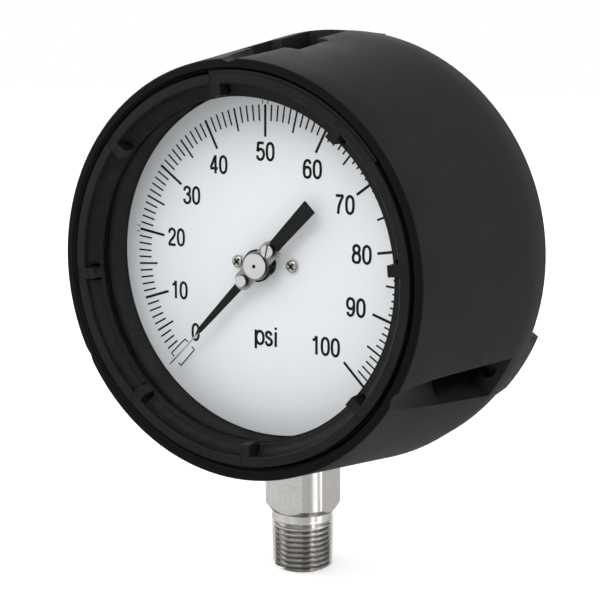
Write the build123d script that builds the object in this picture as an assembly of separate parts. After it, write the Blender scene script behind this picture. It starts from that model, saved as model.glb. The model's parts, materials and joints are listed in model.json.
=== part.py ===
from build123d import *
import math
import os

# Process pressure gauge, 0 to 100 psi, with a turret case and a solid wall behind the dial.
#
# Every piece is drawn in the gauge frame: X to the right of the dial, Y up the dial,
# Z out of the dial towards the reader, with the origin where the stem's centre line
# meets the pointer's centre line. TO_PART then turns it into the part's frame: +Z up the
# stem, the dial facing -Y, and the origin at the centre of the thread's open end.

# ---- Driving dimensions, in millimetres and degrees ------------------------------------

# Depths along Z, from the stem's centre line
RIM_FRONT = 44.0             # rim face
RIM_DEPTH = 13.0             # from the rim face back to the shoulder that seats the window
BOWL_DEPTH = 8.4             # from that shoulder back to the solid wall
WALL_THICKNESS = 4.0         # solid wall behind the dial
BAND_FRONT = -16.0           # the tapered case ends here in a short cylinder
BAND_LENGTH = 11.9
FOOT_HEIGHT = 10.4
COVER_SINK = 3.4             # depth of the shoulder that the back gasket lies on

# Case
BOWL_RADIUS = 56.0           # well that the dial lies in
RIM_EDGE = 0.6               # rounding of the rim's outer edge
RIM_WALL = 3.0
RIM_RELIEF = 0.5             # mouth of the rim's bore, wider than its threaded part
RIM_RELIEF_DEPTH = 4.0
CASE_FLARE = 9.6             # how much wider than the rim the rear of the case is
BAND_EDGE = 0.8
SHELL = 3.5                  # thickness of the case wall
WALL_HOLE_RADIUS = 4.0       # the pointer arbor passes here
FLANGE_THICKNESS = 5.9       # rear flange that the blow-out back sits in
COVER_MARGIN = 14.5          # from the outside of the case in to the blow-out back
COVER_SHOULDER_WIDTH = 3.0
MOUNT_ANGLES = (90, 210, 330)
BOLT_MARGIN = 5.75           # from the outside of the case in to the bolt circle
BOLT_HOLE_RADIUS = 3.3
FOOT_ROOT_WIDTH = 26.2
FOOT_TIP_WIDTH = 21.2
FOOT_INSET = 0.4             # foot's outer face, inside the case's outside
FOOT_MARGIN = 3.0            # foot's inner face, outside the blow-out back
FOOT_EDGE = 1.2
SCOOP_FRONT_RADIUS = 4.7     # half width of the screwdriver channel at the rim
SCOOP_REAR_RADIUS = 7.6
WELL_DEPTH = 9.75            # deep part of each scoop, inside the bolt circle
WELL_WIDTH = 13.0
WELL_FRONT = 12.0
SCOOP_WALL = 3.0             # plastic left around each scoop inside the case
VENT_WIDTH = 22.0            # wider cut-out across the top scoop
VENT_FRONT = 21.5
VENT_REAR = 2.5
VENT_DEPTH = 3.75            # its floor, inside the bolt circle
FLOOR_PAD_WIDTH = 44.0       # flat pad inside the bottom of the case
FLOOR_PAD_DEPTH = 30.0
FLOOR_PAD_INSET = 12.0       # its face, inside the case's outside

# Window, gasket and dial
GLASS_LEDGE = 2.0            # width of the shoulder under the window
GLASS_THICKNESS = 4.7
GASKET_THICKNESS = 1.0
DIAL_THICKNESS = 0.8
DIAL_HOLE_RADIUS = 4.0
DIAL_SCREW_OFFSET = 10.1
DIAL_SCREW_HEAD_RADIUS = 2.1
DIAL_SCREW_HEAD = 1.4
DIAL_SCREW_RADIUS = 1.4
DIAL_SCREW_LENGTH = 3.6

# Front ring
RING_SKIRT = 2.2             # thickness of the threaded skirt around the window
RING_DROP = 0.2              # ring face below the rim face
RING_EDGE = 0.4
RING_COLLAR_STEP = 0.4       # collar in front of the ring's thread, inside its root
RING_COLLAR_HEIGHT = 3.8
RING_COLLAR_EDGE = 0.2
RING_LEDGE_WIDTH = 0.9       # thread start that shows round the collar
RING_LEDGE_DROP = 0.4        # its top below the ring face
RING_LEDGE_ANGLE = 36.0
RING_LEDGE_SWEEP = 61.0
RING_FACE_WIDTH = 3.6
RING_TROUGH_WIDTH = 2.9
RING_TROUGH_FLARE = 0.3      # trough's inner side, from foot to lip
RING_TROUGH_ELBOW = 0.22     # how far the trough's hollow keeps from its square corner
RING_TROUGH_RISE = 0.4       # trough floor above the lip
RING_LIP_WIDTH = 1.0
RING_LIP_THICKNESS = 2.2
RING_THREAD_PITCH = 3.0
RING_THREAD_HEIGHT = 0.5
RING_THREAD_COUNT = 3
RING_THREAD_START = 1.2      # first ridge above the window seat
LUG_COUNT = 8
LUG_WIDTH = 3.4
LUG_REACH = 0.7              # lug's inner end, inside the trough
LUG_FACE_DROP = 0.15
LUG_CHANNEL_MARGIN = 0.4     # end of the lug's shallow channel, inside the collar
LUG_FIRST_ANGLE = 5.2
LUG_PIT_WIDTH = 1.0
LUG_PIT_FLOOR_THICKNESS = 0.6
LUG_ROOT_DEPTH = 0.2         # lug's back below the pit floor
LUG_DIMPLE_RADIUS = 1.35
LUG_DIMPLE_DEPTH = 0.12

# Stem and the head that carries the movement
STEM_REACH = 32.4            # open end of the thread, below the case's outside
BAR_RADIUS = 12.7            # one inch round bar
BAR_FLATS = 22.2             # seven-eighths inch across its four wrench flats
BAR_CHAMFER = 1.8
BAR_CHAMFER_HEIGHT = 2.2
THREAD_LENGTH = 17.1         # half-inch taper pipe thread
THREAD_PITCH = 25.4 / 14     # 14 to the inch
THREAD_RADIUS = 10.67        # crest radius where the thread runs out at the bar
THREAD_TAPER = 1 / 32        # loss of radius for each millimetre of length
THREAD_DEPTH = 1.3
THREAD_FLAT = 0.16
THREAD_LEAD = 1.5            # chamfer at the open end
NECK_HEIGHT = 2.6
NECK_DROP = 0.15             # neck's radius below the crest at the thread's end
NECK_SLOPE = 0.5
PRESSURE_BORE_RADIUS = 3.0
HEAD_WIDTH = 34.0
POST_WIDTH = 30.0
POST_FRONT = 6.0
POST_REAR = -10.0
POST_COVER = 9.0             # post above the tube's centre line
HEAD_COVER = 2.0             # head's top below the tube's centre line
SOCKET_GASKET_THICKNESS = 1.0
SOCKET_GASKET_RIM = 2.0      # gasket beyond the head, front and rear
SOCKET_SCREW_OFFSET = 12.0
SOCKET_SCREW_RISE = 13.0     # screws above the underside of the head
SOCKET_SCREW_RADIUS = 2.0
SOCKET_SCREW_LENGTH = 18.0
SOCKET_SCREW_HEAD_RADIUS = 3.5
SOCKET_SCREW_HEAD = 2.2
SOCKET_BOSS_RADIUS = 4.5

# Bourdon tube
TUBE_RADIUS = 40.0           # centre line of the C
TUBE_CENTRE = -2.0
TUBE_WIDTH = 12.0
TUBE_THICKNESS = 5.0
TUBE_WALL = 0.7
TUBE_ROOT_ANGLE = 256.0
TUBE_SLOT_SWEEP = 25.0       # tube's slot in the post, in degrees round the C
TUBE_ROOT_GAP = 0.2          # in degrees, at the bottom of that slot
TUBE_FLEX_ANGLE = 90.0       # where the free half bends about the fixed half
TUBE_TIP_ANGLE = -33.0
FLEX_GAP = 0.5
CROSS_BORE_RADIUS = 1.8
TIP_LENGTH = 9.0
TIP_EDGE = 1.2
TIP_INWARD = 7.4             # tip block inside and outside the tube's centre line
TIP_OUTWARD = 3.4
TIP_WALL = 1.0               # tip block beyond the tube's flat sides

# Movement
PLATE_THICKNESS = 1.6
PLATE_GAP = 7.6
PLATE_HALF_WIDTH = 13.0
PLATE_TOP = 9.0
PLATE_CORNER = 2.5
FRONT_PLATE_BOTTOM = -28.5
BACK_PLATE_OVERLAP = 9.5     # back plate over the post
PILLARS = ((-10, 5), (10, 5), (-10, -25), (10.5, -14))
PILLAR_RADIUS = 1.8
PLATE_SCREW_RADIUS = 0.9
PLATE_SCREW_HEAD_RADIUS = 1.7
PLATE_SCREW_HEAD = 0.9
PLATE_SCREW_LENGTH = 4.0
POST_SCREW_OFFSET = 5.5
POST_SCREW_DROP = 6.0        # screws below the top of the post
POST_SCREW_RADIUS = 1.2
POST_SCREW_LENGTH = 5.0
PIVOT_RADIUS = 0.75
GEAR_MODULE = 0.3
TOOTH_HEIGHT = 0.8           # above the pitch line, in modules
TOOTH_DEPTH = 1.15           # below the pitch line, in modules
TOOTH_ROOT_SHARE = 1.35      # tooth's width at its root and tip, over its width at the pitch line
TOOTH_TIP_SHARE = 0.5
PINION_TEETH = 10
SECTOR_TEETH = 135           # teeth that a whole wheel would have
SECTOR_SWING = 20.0
SECTOR_THICKNESS = 1.2
SECTOR_LIFT = 2.6            # sector in front of the back plate
SECTOR_HUB_RADIUS = 3.2
SECTOR_RIM = 3.2
SECTOR_ARM_ANGLE = 3.5       # half of what each arm takes of the fan, in degrees
SECTOR_WINDOW_RADIUS = 8.0
SECTOR_TAIL_ANGLE = -70.0
SECTOR_TAIL_LENGTH = 12.0
SECTOR_TAIL_WIDTH = 3.6
SECTOR_ARBOR_RADIUS = 1.2
PINION_FACE = 2.6
PINION_OVERHANG = 0.6        # pinion beyond the back of the sector
ARBOR_RADIUS = 1.0
LINK_THICKNESS = 1.0
LINK_WIDTH = 3.4
LINK_PIN_RADIUS = 1.1
LINK_PIN_INSET = 5.06        # pin inside the tube's centre line
LINK_PIN_LAG = 7.0           # pin beyond the tube's end, in degrees round the C
LINK_PIN_HEAD = 0.7
LINK_SCREW_RADIUS = 1.0
LINK_SCREW_RIM = 0.8
LINK_SCREW_HEAD = 0.9
LINK_SCREW_SLOT = 0.4        # width and depth
SPRING_TURNS = 3.5
SPRING_OUTER_RADIUS = 6.0
SPRING_STRIP = 0.12
SPRING_WIDTH = 1.4
SPRING_LIFT = 1.3            # spring in front of the sector
COLLET_RADIUS = 2.0
STUD_RADIUS = 0.7

# Pointer
POINTER_LIFT = 4.6           # blade in front of the dial
BLADE_THICKNESS = 0.6
BLADE_HUB_RADIUS = 5.15
TAIL_LENGTH = 27.3
TAIL_ROOT_WIDTH = 3.5
TAIL_END_WIDTH = 4.9
NEEDLE_ROOT_WIDTH = 3.4
NEEDLE_END_WIDTH = 1.65
NEEDLE_BLACK_END = 34.5
NEEDLE_POINT = 2.5
KNIFE_START = 30.0
KNIFE_END = 50.2
KNIFE_POINT = 1.0
KNIFE_WIDTH = 0.42
KNIFE_DEPTH = 0.7
REST_ANGLE = 226.0           # needle at rest, one degree short of the scale's zero
HUB_PLATE_THICKNESS = 0.45
HUB_PLATE_END_RADIUS = 3.05
HUB_PLATE_MIDDLE_RADIUS = 4.55
HUB_PLATE_WAIST = 0.8        # rounding where the plate's arms leave its middle
HUB_PLATE_NOTCH = 3.0        # opening in the plate's end, over the tail
HUB_PLATE_HORN = 2.0         # horns beside the notch, past the adjusting screw's centre
HUB_DISC_RADIUS = 4.1
HUB_DISC_THICKNESS = 1.3
HUB_DISC_EDGE = 0.2
HUB_DOT_RADIUS = 0.58
HUB_DOT_DEPTH = 0.8
BUSHING_LIFT = 1.1           # back of the bushing in front of the dial
BUSHING_TEETH = 22
BUSHING_FACE = 1.1
BUSHING_STUB_RADIUS = 2.0
BUSHING_FOOT_RADIUS = 2.8
TRIM_TEETH = 14
TRIM_RADIUS = 7.1            # distance of the adjusting screw from the pointer axis
TRIM_TOOTH_FACE = 1.0
TRIM_SCREW_HEAD_RADIUS = 2.1
TRIM_SCREW_HEAD = 1.75
TRIM_SCREW_RADIUS = 0.8
TRIM_SCREW_EDGE = 0.2
TRIM_SLOT_ANGLE = 77.0
TRIM_SLOT_WIDTH = 0.5
TRIM_SLOT_DEPTH = 0.6
HUB_PIN_HEAD_RADIUS = 2.0
HUB_PIN_HEAD = 1.85
HUB_PIN_EDGE = 0.25
HUB_PIN_RADIUS = 0.6

# Cross-head screws, as shares of the head's height and radius
SCREW_ROUNDING = 0.6
SCREW_CROSS_LENGTH = 1.3
SCREW_CROSS_WIDTH = 0.32

# Blow-out back
COVER_THICKNESS = 3.0
COVER_EDGE = 0.6
COVER_RIB_HEIGHT = 1.2
COVER_RIB_WIDTH = 2.0
COVER_RIBS = 6
COVER_BOSS_RADIUS = 9.0
COVER_RIM_INSET = 2.5

# Clearances
RUNNING_FIT = 0.05           # radial, shaft in hole
THREAD_FIT = 0.05            # radial, screw in its tapped hole
PRESS_FIT = 0.01             # radial, left between two pieces that are pressed together
SEAT_GAP = 0.2               # radial, between flat pieces and the bores that they lie in
DIAL_GAP = 0.6               # radial, around the dial
RING_GAP = 0.4               # radial, between the window and the ring's skirt
SIDE_GAP = 0.3               # between neighbours that move past each other
LAYER_GAP = 0.1              # between the pointer's layers that turn on each other
STEM_GAP = 0.2               # stem in the case's square hole
BRAZE_GAP = 0.05             # tube in the head and in the tip
OPEN_PIVOT_GAP = 0.2         # radial, at the link's pin on the tube tip
TOOTH_BACKLASH = 0.12        # share of the tooth pitch
BLIND_END = 0.5              # left solid, or left empty, at the end of a blind hole
PAST = 1.0                   # how far a cut or a buried end runs past the face it crosses
ARC_STEPS = 12               # points to an arc, or to one turn of a spiral

# ---- Places worked out from the driving dimensions -------------------------------------

# Radii, from the dial outwards
DIAL_RADIUS = BOWL_RADIUS - DIAL_GAP
GLASS_RADIUS = BOWL_RADIUS + GLASS_LEDGE
RING_SKIRT_INNER = GLASS_RADIUS + RING_GAP
RING_RADIUS = RING_SKIRT_INNER + RING_SKIRT
RIM_BORE = RING_RADIUS + RING_THREAD_HEIGHT + SIDE_GAP
RIM_MOUTH = RIM_BORE + RIM_RELIEF
RIM_RADIUS = RIM_BORE + RIM_WALL
RING_COLLAR = RING_RADIUS - RING_COLLAR_STEP
RING_FACE_INNER = RING_RADIUS - RING_FACE_WIDTH
RING_TROUGH_INNER = RING_FACE_INNER - RING_TROUGH_WIDTH
RING_LIP_RADIUS = RING_TROUGH_INNER - RING_LIP_WIDTH
LUG_INNER_RADIUS = RING_TROUGH_INNER - LUG_REACH
BAND_RADIUS = RIM_RADIUS + CASE_FLARE
BOLT_CIRCLE_RADIUS = BAND_RADIUS - BOLT_MARGIN
COVER_BORE = BAND_RADIUS - COVER_MARGIN
COVER_SHOULDER_RADIUS = COVER_BORE - COVER_SHOULDER_WIDTH
FOOT_OUTER_RADIUS = BAND_RADIUS - FOOT_INSET
FOOT_INNER_RADIUS = COVER_BORE + FOOT_MARGIN
WELL_RADIUS = BOLT_CIRCLE_RADIUS - WELL_DEPTH
VENT_FLOOR = BOLT_CIRCLE_RADIUS - VENT_DEPTH

# Depths, from the front of the case to the rear
WINDOW_SEAT = RIM_FRONT - RIM_DEPTH
GLASS_BACK = WINDOW_SEAT + GASKET_THICKNESS
GLASS_FRONT = GLASS_BACK + GLASS_THICKNESS
WALL_FRONT = WINDOW_SEAT - BOWL_DEPTH
WALL_BACK = WALL_FRONT - WALL_THICKNESS
DIAL_FRONT = WALL_FRONT + DIAL_THICKNESS
BAND_REAR = BAND_FRONT - BAND_LENGTH
FOOT_REAR = BAND_REAR - FOOT_HEIGHT
COVER_SHOULDER = BAND_REAR + COVER_SINK
TAPER = CASE_FLARE / (RIM_FRONT - BAND_FRONT)
RING_FACE = RIM_FRONT - RING_DROP
RING_COLLAR_BACK = RING_FACE - RING_COLLAR_HEIGHT
RING_LIP_FACE = GLASS_FRONT + RING_LIP_THICKNESS
RING_TROUGH_FLOOR = RING_LIP_FACE + RING_TROUGH_RISE
LUG_PIT_FLOOR = GLASS_FRONT + LUG_PIT_FLOOR_THICKNESS
SOCKET_SCREW_SEAT = WALL_FRONT - SOCKET_SCREW_HEAD - SEAT_GAP

# Heights along the stem
AXIS_HEIGHT = BAND_RADIUS + STEM_REACH
THREAD_END = -AXIS_HEIGHT
BAR_BOTTOM = THREAD_LENGTH + NECK_HEIGHT
BAR_END = BAR_BOTTOM - AXIS_HEIGHT
HALF_FLATS = BAR_FLATS / 2
FLOOR_PAD_TOP = FLOOR_PAD_INSET - BAND_RADIUS
HEAD_BOTTOM = FLOOR_PAD_TOP + SOCKET_GASKET_THICKNESS
HEAD_TOP = -TUBE_RADIUS - HEAD_COVER
POST_TOP = -TUBE_RADIUS + POST_COVER
SOCKET_SCREW_HEIGHT = HEAD_BOTTOM + SOCKET_SCREW_RISE
POST_SCREW_HEIGHT = POST_TOP - POST_SCREW_DROP
POST_SCREWS = ((-POST_SCREW_OFFSET, POST_SCREW_HEIGHT), (POST_SCREW_OFFSET, POST_SCREW_HEIGHT))
BACK_PLATE_BOTTOM = POST_TOP - BACK_PLATE_OVERLAP

# Layers of the movement
BACK_PLATE_REAR = POST_FRONT
BACK_PLATE_FRONT = BACK_PLATE_REAR + PLATE_THICKNESS
FRONT_PLATE_REAR = BACK_PLATE_FRONT + PLATE_GAP
FRONT_PLATE_FRONT = FRONT_PLATE_REAR + PLATE_THICKNESS
SECTOR_BACK = BACK_PLATE_FRONT + SECTOR_LIFT
SECTOR_FRONT = SECTOR_BACK + SECTOR_THICKNESS
LINK_FRONT = SECTOR_BACK - SIDE_GAP
LINK_BACK = LINK_FRONT - LINK_THICKNESS
SPRING_BACK = SECTOR_FRONT + SPRING_LIFT
PINION_RADIUS = GEAR_MODULE * PINION_TEETH / 2
SECTOR_RADIUS = GEAR_MODULE * SECTOR_TEETH / 2
SECTOR_PIVOT = (0, -(PINION_RADIUS + SECTOR_RADIUS))
TIP_FRONT = TUBE_CENTRE + TUBE_WIDTH / 2 + TIP_WALL
TIP_REAR = TUBE_CENTRE - TUBE_WIDTH / 2 - TIP_WALL

# Layers of the pointer
BUSHING_BACK = DIAL_FRONT + BUSHING_LIFT
BLADE_BACK = DIAL_FRONT + POINTER_LIFT
BLADE_FRONT = BLADE_BACK + BLADE_THICKNESS
HUB_PLATE_FRONT = BLADE_FRONT + HUB_PLATE_THICKNESS
HUB_DISC_FRONT = HUB_PLATE_FRONT + HUB_DISC_THICKNESS
TRIM_MODULE = 2 * TRIM_RADIUS / (BUSHING_TEETH + TRIM_TEETH)
TAIL_ANGLE = REST_ANGLE - 180

TO_PART = Pos(0, 0, AXIS_HEIGHT) * Rot(90, 0, 0)


def polar(radius, angle, centre=(0, 0)):
    """The point at a radius and an angle in degrees from a centre."""
    turn = math.radians(angle)
    return (centre[0] + radius * math.cos(turn), centre[1] + radius * math.sin(turn))


TAIL_END = polar(SECTOR_TAIL_LENGTH, SECTOR_TAIL_ANGLE, SECTOR_PIVOT)
LINK_END = polar(TUBE_RADIUS - LINK_PIN_INSET, TUBE_TIP_ANGLE - LINK_PIN_LAG)


# ---- Small builders ---------------------------------------------------------------------

def case_radius(z):
    """Outside radius of the tapered case at a depth."""
    return RIM_RADIUS + TAPER * (RIM_FRONT - max(z, BAND_FRONT))


def disc(radius, back, front, centre=(0, 0)):
    """A round disc between two depths."""
    solid = Cylinder(radius, front - back, align=(Align.CENTER, Align.CENTER, Align.MIN))
    return Pos(centre[0], centre[1], back) * solid


def washer(outer, inner, back, front, centre=(0, 0)):
    """A flat ring between two depths."""
    return disc(outer, back, front, centre) - disc(inner, back - PAST, front + PAST, centre)


def slab(left, right, bottom, top, back, front):
    """A rectangular block given by its six faces."""
    solid = Box(right - left, top - bottom, front - back)
    return Pos((left + right) / 2, (bottom + top) / 2, (back + front) / 2) * solid


def turned(points):
    """A solid turned about the pointer axis from (radius, depth) corners."""
    outline = Plane.XZ * make_face(Polyline(*points, close=True))
    return revolve(outline, axis=Axis.Z)


def plate(outline, back, front):
    """A flat outline made solid between two depths."""
    return Pos(0, 0, back) * extrude(outline, amount=front - back)


def bar_between(start, end, width):
    """A flat bar with round ends from one point to another."""
    length = math.dist(start, end)
    angle = math.degrees(math.atan2(end[1] - start[1], end[0] - start[0]))
    middle = ((start[0] + end[0]) / 2, (start[1] + end[1]) / 2)
    return Pos(*middle) * Rot(0, 0, angle) * SlotCenterToCenter(length, width)


def tooth(root_radius, tip_radius, root_width, tip_width):
    """One straight-sided gear tooth that points along +X, its foot sunk into the wheel."""
    foot_radius = root_radius - (tip_radius - root_radius) / 2
    corners = [
        (foot_radius, -root_width / 2),
        (root_radius, -root_width / 2),
        (tip_radius, -tip_width / 2),
        (tip_radius, tip_width / 2),
        (root_radius, root_width / 2),
        (foot_radius, root_width / 2),
    ]
    return make_face(Polyline(*corners, close=True))


def toothed_outline(module, teeth, angles, blank=None):
    """Gear teeth at the given angles, on a round blank unless another is given."""
    pitch_radius = module * teeth / 2
    root_radius = pitch_radius - TOOTH_DEPTH * module
    tip_radius = pitch_radius + TOOTH_HEIGHT * module
    pitch_width = math.pi * module * (0.5 - TOOTH_BACKLASH)
    one = tooth(root_radius, tip_radius, pitch_width * TOOTH_ROOT_SHARE, pitch_width * TOOTH_TIP_SHARE)
    outline = Circle(root_radius) if blank is None else blank
    for angle in angles:
        outline += Rot(0, 0, angle) * one
    return outline


def even_angles(count, first=0.0):
    """Angles of a full circle of equal steps."""
    return [first + 360 * k / count for k in range(count)]


def tube_section(width, thickness):
    """The flat-oval section of the Bourdon tube, standing off the pointer axis."""
    section = Rot(0, 0, 90) * SlotOverall(width, thickness)
    return Plane.XZ * Pos(TUBE_RADIUS, TUBE_CENTRE) * section


def tube_arc(width, thickness, start, end):
    """The tube's outline swept round the C from one angle to another."""
    section = Rot(0, 0, start) * tube_section(width, thickness)
    return revolve(section, axis=Axis.Z, revolution_arc=end - start)


def pan_screw(point, seat, head_radius, head_height, radius, length):
    """A pan-head screw with a cross recess, its head on a seat and its shank behind."""
    top = seat + head_height
    rounding = head_height * SCREW_ROUNDING
    head = disc(head_radius, seat, top, point)
    rim = head.edges().filter_by(GeomType.CIRCLE).group_by(Axis.Z)[-1]
    head = fillet(rim, rounding)
    shank = disc(radius, seat - length, seat + rounding / 2, point)
    recess = Sketch()
    for angle in (45, 135):
        arm = Rectangle(head_radius * SCREW_CROSS_LENGTH, head_radius * SCREW_CROSS_WIDTH)
        recess += Rot(0, 0, angle) * arm
    cut = Pos(point[0], point[1], 0) * plate(recess, top - rounding, top + PAST)
    return head + shank - cut


# ---- Case ---------------------------------------------------------------------------------

def scoop(angle, spare):
    """The channel in the case's side that lets a mounting screw in, grown by a spare wall."""
    front = RIM_FRONT + PAST
    rear = BAND_FRONT - spare
    beyond = BAND_RADIUS - BOLT_CIRCLE_RADIUS + PAST
    growth = (SCOOP_REAR_RADIUS - SCOOP_FRONT_RADIUS) / (RIM_FRONT - BAND_FRONT)
    front_radius = SCOOP_FRONT_RADIUS - growth * PAST + spare
    rear_radius = SCOOP_REAR_RADIUS + growth * spare + spare
    channel = Cone(rear_radius, front_radius, front - rear, align=(Align.CENTER, Align.CENTER, Align.MIN))
    channel = Pos(BOLT_CIRCLE_RADIUS, 0, rear) * channel
    sides = [(rear, -rear_radius), (front, -front_radius), (front, front_radius), (rear, rear_radius)]
    flare = Plane.YZ * make_face(Polyline(*[(y, z) for z, y in sides], close=True))
    channel += Pos(BOLT_CIRCLE_RADIUS, 0, 0) * extrude(flare, amount=beyond)
    well_half = WELL_WIDTH / 2 + spare
    well = slab(WELL_RADIUS - spare, BOLT_CIRCLE_RADIUS, -well_half, well_half, rear, WELL_FRONT + spare)
    return Rot(0, 0, angle) * (channel + well)


def vent(spare):
    """The wider cut-out across the scoop at the top of the case."""
    half = VENT_WIDTH / 2 + spare
    top = BAND_RADIUS + PAST
    return slab(-half, half, VENT_FLOOR - spare, top, VENT_REAR - spare, VENT_FRONT + spare)


def foot(angle):
    """One of the feet that hold the case off a panel."""
    root = FOOT_ROOT_WIDTH / 2
    tip = FOOT_TIP_WIDTH / 2
    buried = BAND_REAR + PAST
    side = [(-root, buried), (root, buried), (tip, FOOT_REAR), (-tip, FOOT_REAR)]
    block = extrude(Plane.YZ * make_face(Polyline(*side, close=True)), amount=BAND_RADIUS + PAST)
    block = block & washer(FOOT_OUTER_RADIUS, FOOT_INNER_RADIUS, FOOT_REAR, buried)
    outer = block.edges().group_by(Axis.Z)[0].sort_by(Axis.X)[-1]
    block = chamfer(outer, FOOT_EDGE)
    return Rot(0, 0, angle) * block


def case_cavity():
    """The hollow behind the solid wall, less the plastic that stays inside it."""
    lip = BAND_REAR + FLANGE_THICKNESS
    inner = BAND_RADIUS - SHELL
    hollow = turned([
        (0, BAND_REAR - PAST),
        (COVER_BORE, BAND_REAR - PAST),
        (COVER_BORE, COVER_SHOULDER),
        (COVER_SHOULDER_RADIUS, COVER_SHOULDER),
        (COVER_SHOULDER_RADIUS, lip),
        (inner, lip),
        (inner, BAND_FRONT),
        (case_radius(WALL_BACK) - SHELL, WALL_BACK),
        (0, WALL_BACK),
    ])
    for angle in MOUNT_ANGLES:
        hollow -= scoop(angle, SCOOP_WALL)
        bolt = polar(BOLT_CIRCLE_RADIUS, angle)
        hollow -= disc(BOLT_HOLE_RADIUS + SHELL, lip - PAST, BAND_FRONT + PAST, bolt)
    hollow -= vent(SCOOP_WALL)
    half = FLOOR_PAD_WIDTH / 2
    deep = FLOOR_PAD_DEPTH / 2
    hollow -= slab(-half, half, -BAND_RADIUS, FLOOR_PAD_TOP, -deep, deep)
    for side in (-1, 1):
        place = (side * SOCKET_SCREW_OFFSET, SOCKET_SCREW_HEIGHT)
        hollow -= disc(SOCKET_BOSS_RADIUS, HALF_FLATS, WALL_BACK + PAST, place)
    return hollow


def case_body():
    """The one-piece moulded case."""
    body = turned([
        (0, BAND_REAR),
        (BAND_RADIUS - BAND_EDGE, BAND_REAR),
        (BAND_RADIUS, BAND_REAR + BAND_EDGE),
        (BAND_RADIUS, BAND_FRONT),
        (case_radius(RIM_FRONT - RIM_EDGE), RIM_FRONT - RIM_EDGE),
        (RIM_RADIUS - RIM_EDGE, RIM_FRONT),
        (0, RIM_FRONT),
    ])
    for angle in MOUNT_ANGLES:
        body += foot(angle)
    body -= turned([
        (0, WALL_FRONT),
        (BOWL_RADIUS, WALL_FRONT),
        (BOWL_RADIUS, WINDOW_SEAT),
        (RIM_BORE, WINDOW_SEAT),
        (RIM_BORE, RIM_FRONT - RIM_RELIEF_DEPTH),
        (RIM_MOUTH, RIM_FRONT - RIM_RELIEF_DEPTH),
        (RIM_MOUTH, RIM_FRONT + PAST),
        (0, RIM_FRONT + PAST),
    ])
    body -= case_cavity()
    body -= vent(0)
    for angle in MOUNT_ANGLES:
        body -= scoop(angle, 0)
        bolt = polar(BOLT_CIRCLE_RADIUS, angle)
        body -= disc(BOLT_HOLE_RADIUS, FOOT_REAR - PAST, BAND_FRONT + PAST, bolt)
    hole = HALF_FLATS + STEM_GAP
    body -= slab(-hole, hole, -BAND_RADIUS - PAST, FLOOR_PAD_TOP + PAST, -hole, hole)
    body -= disc(WALL_HOLE_RADIUS, WALL_BACK - PAST, WALL_FRONT + PAST)
    for side in (-1, 1):
        place = (side * DIAL_SCREW_OFFSET, 0)
        body -= disc(DIAL_SCREW_RADIUS + THREAD_FIT, WALL_BACK + BLIND_END, WALL_FRONT + PAST, place)
        place = (side * SOCKET_SCREW_OFFSET, SOCKET_SCREW_HEIGHT)
        body -= disc(SOCKET_SCREW_RADIUS + SEAT_GAP, HALF_FLATS - PAST, WALL_FRONT, place)
        body -= disc(SOCKET_SCREW_HEAD_RADIUS + SEAT_GAP, SOCKET_SCREW_SEAT, WALL_FRONT + PAST, place)
    return body


# ---- Front ring, window and dial ----------------------------------------------------------

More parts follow.
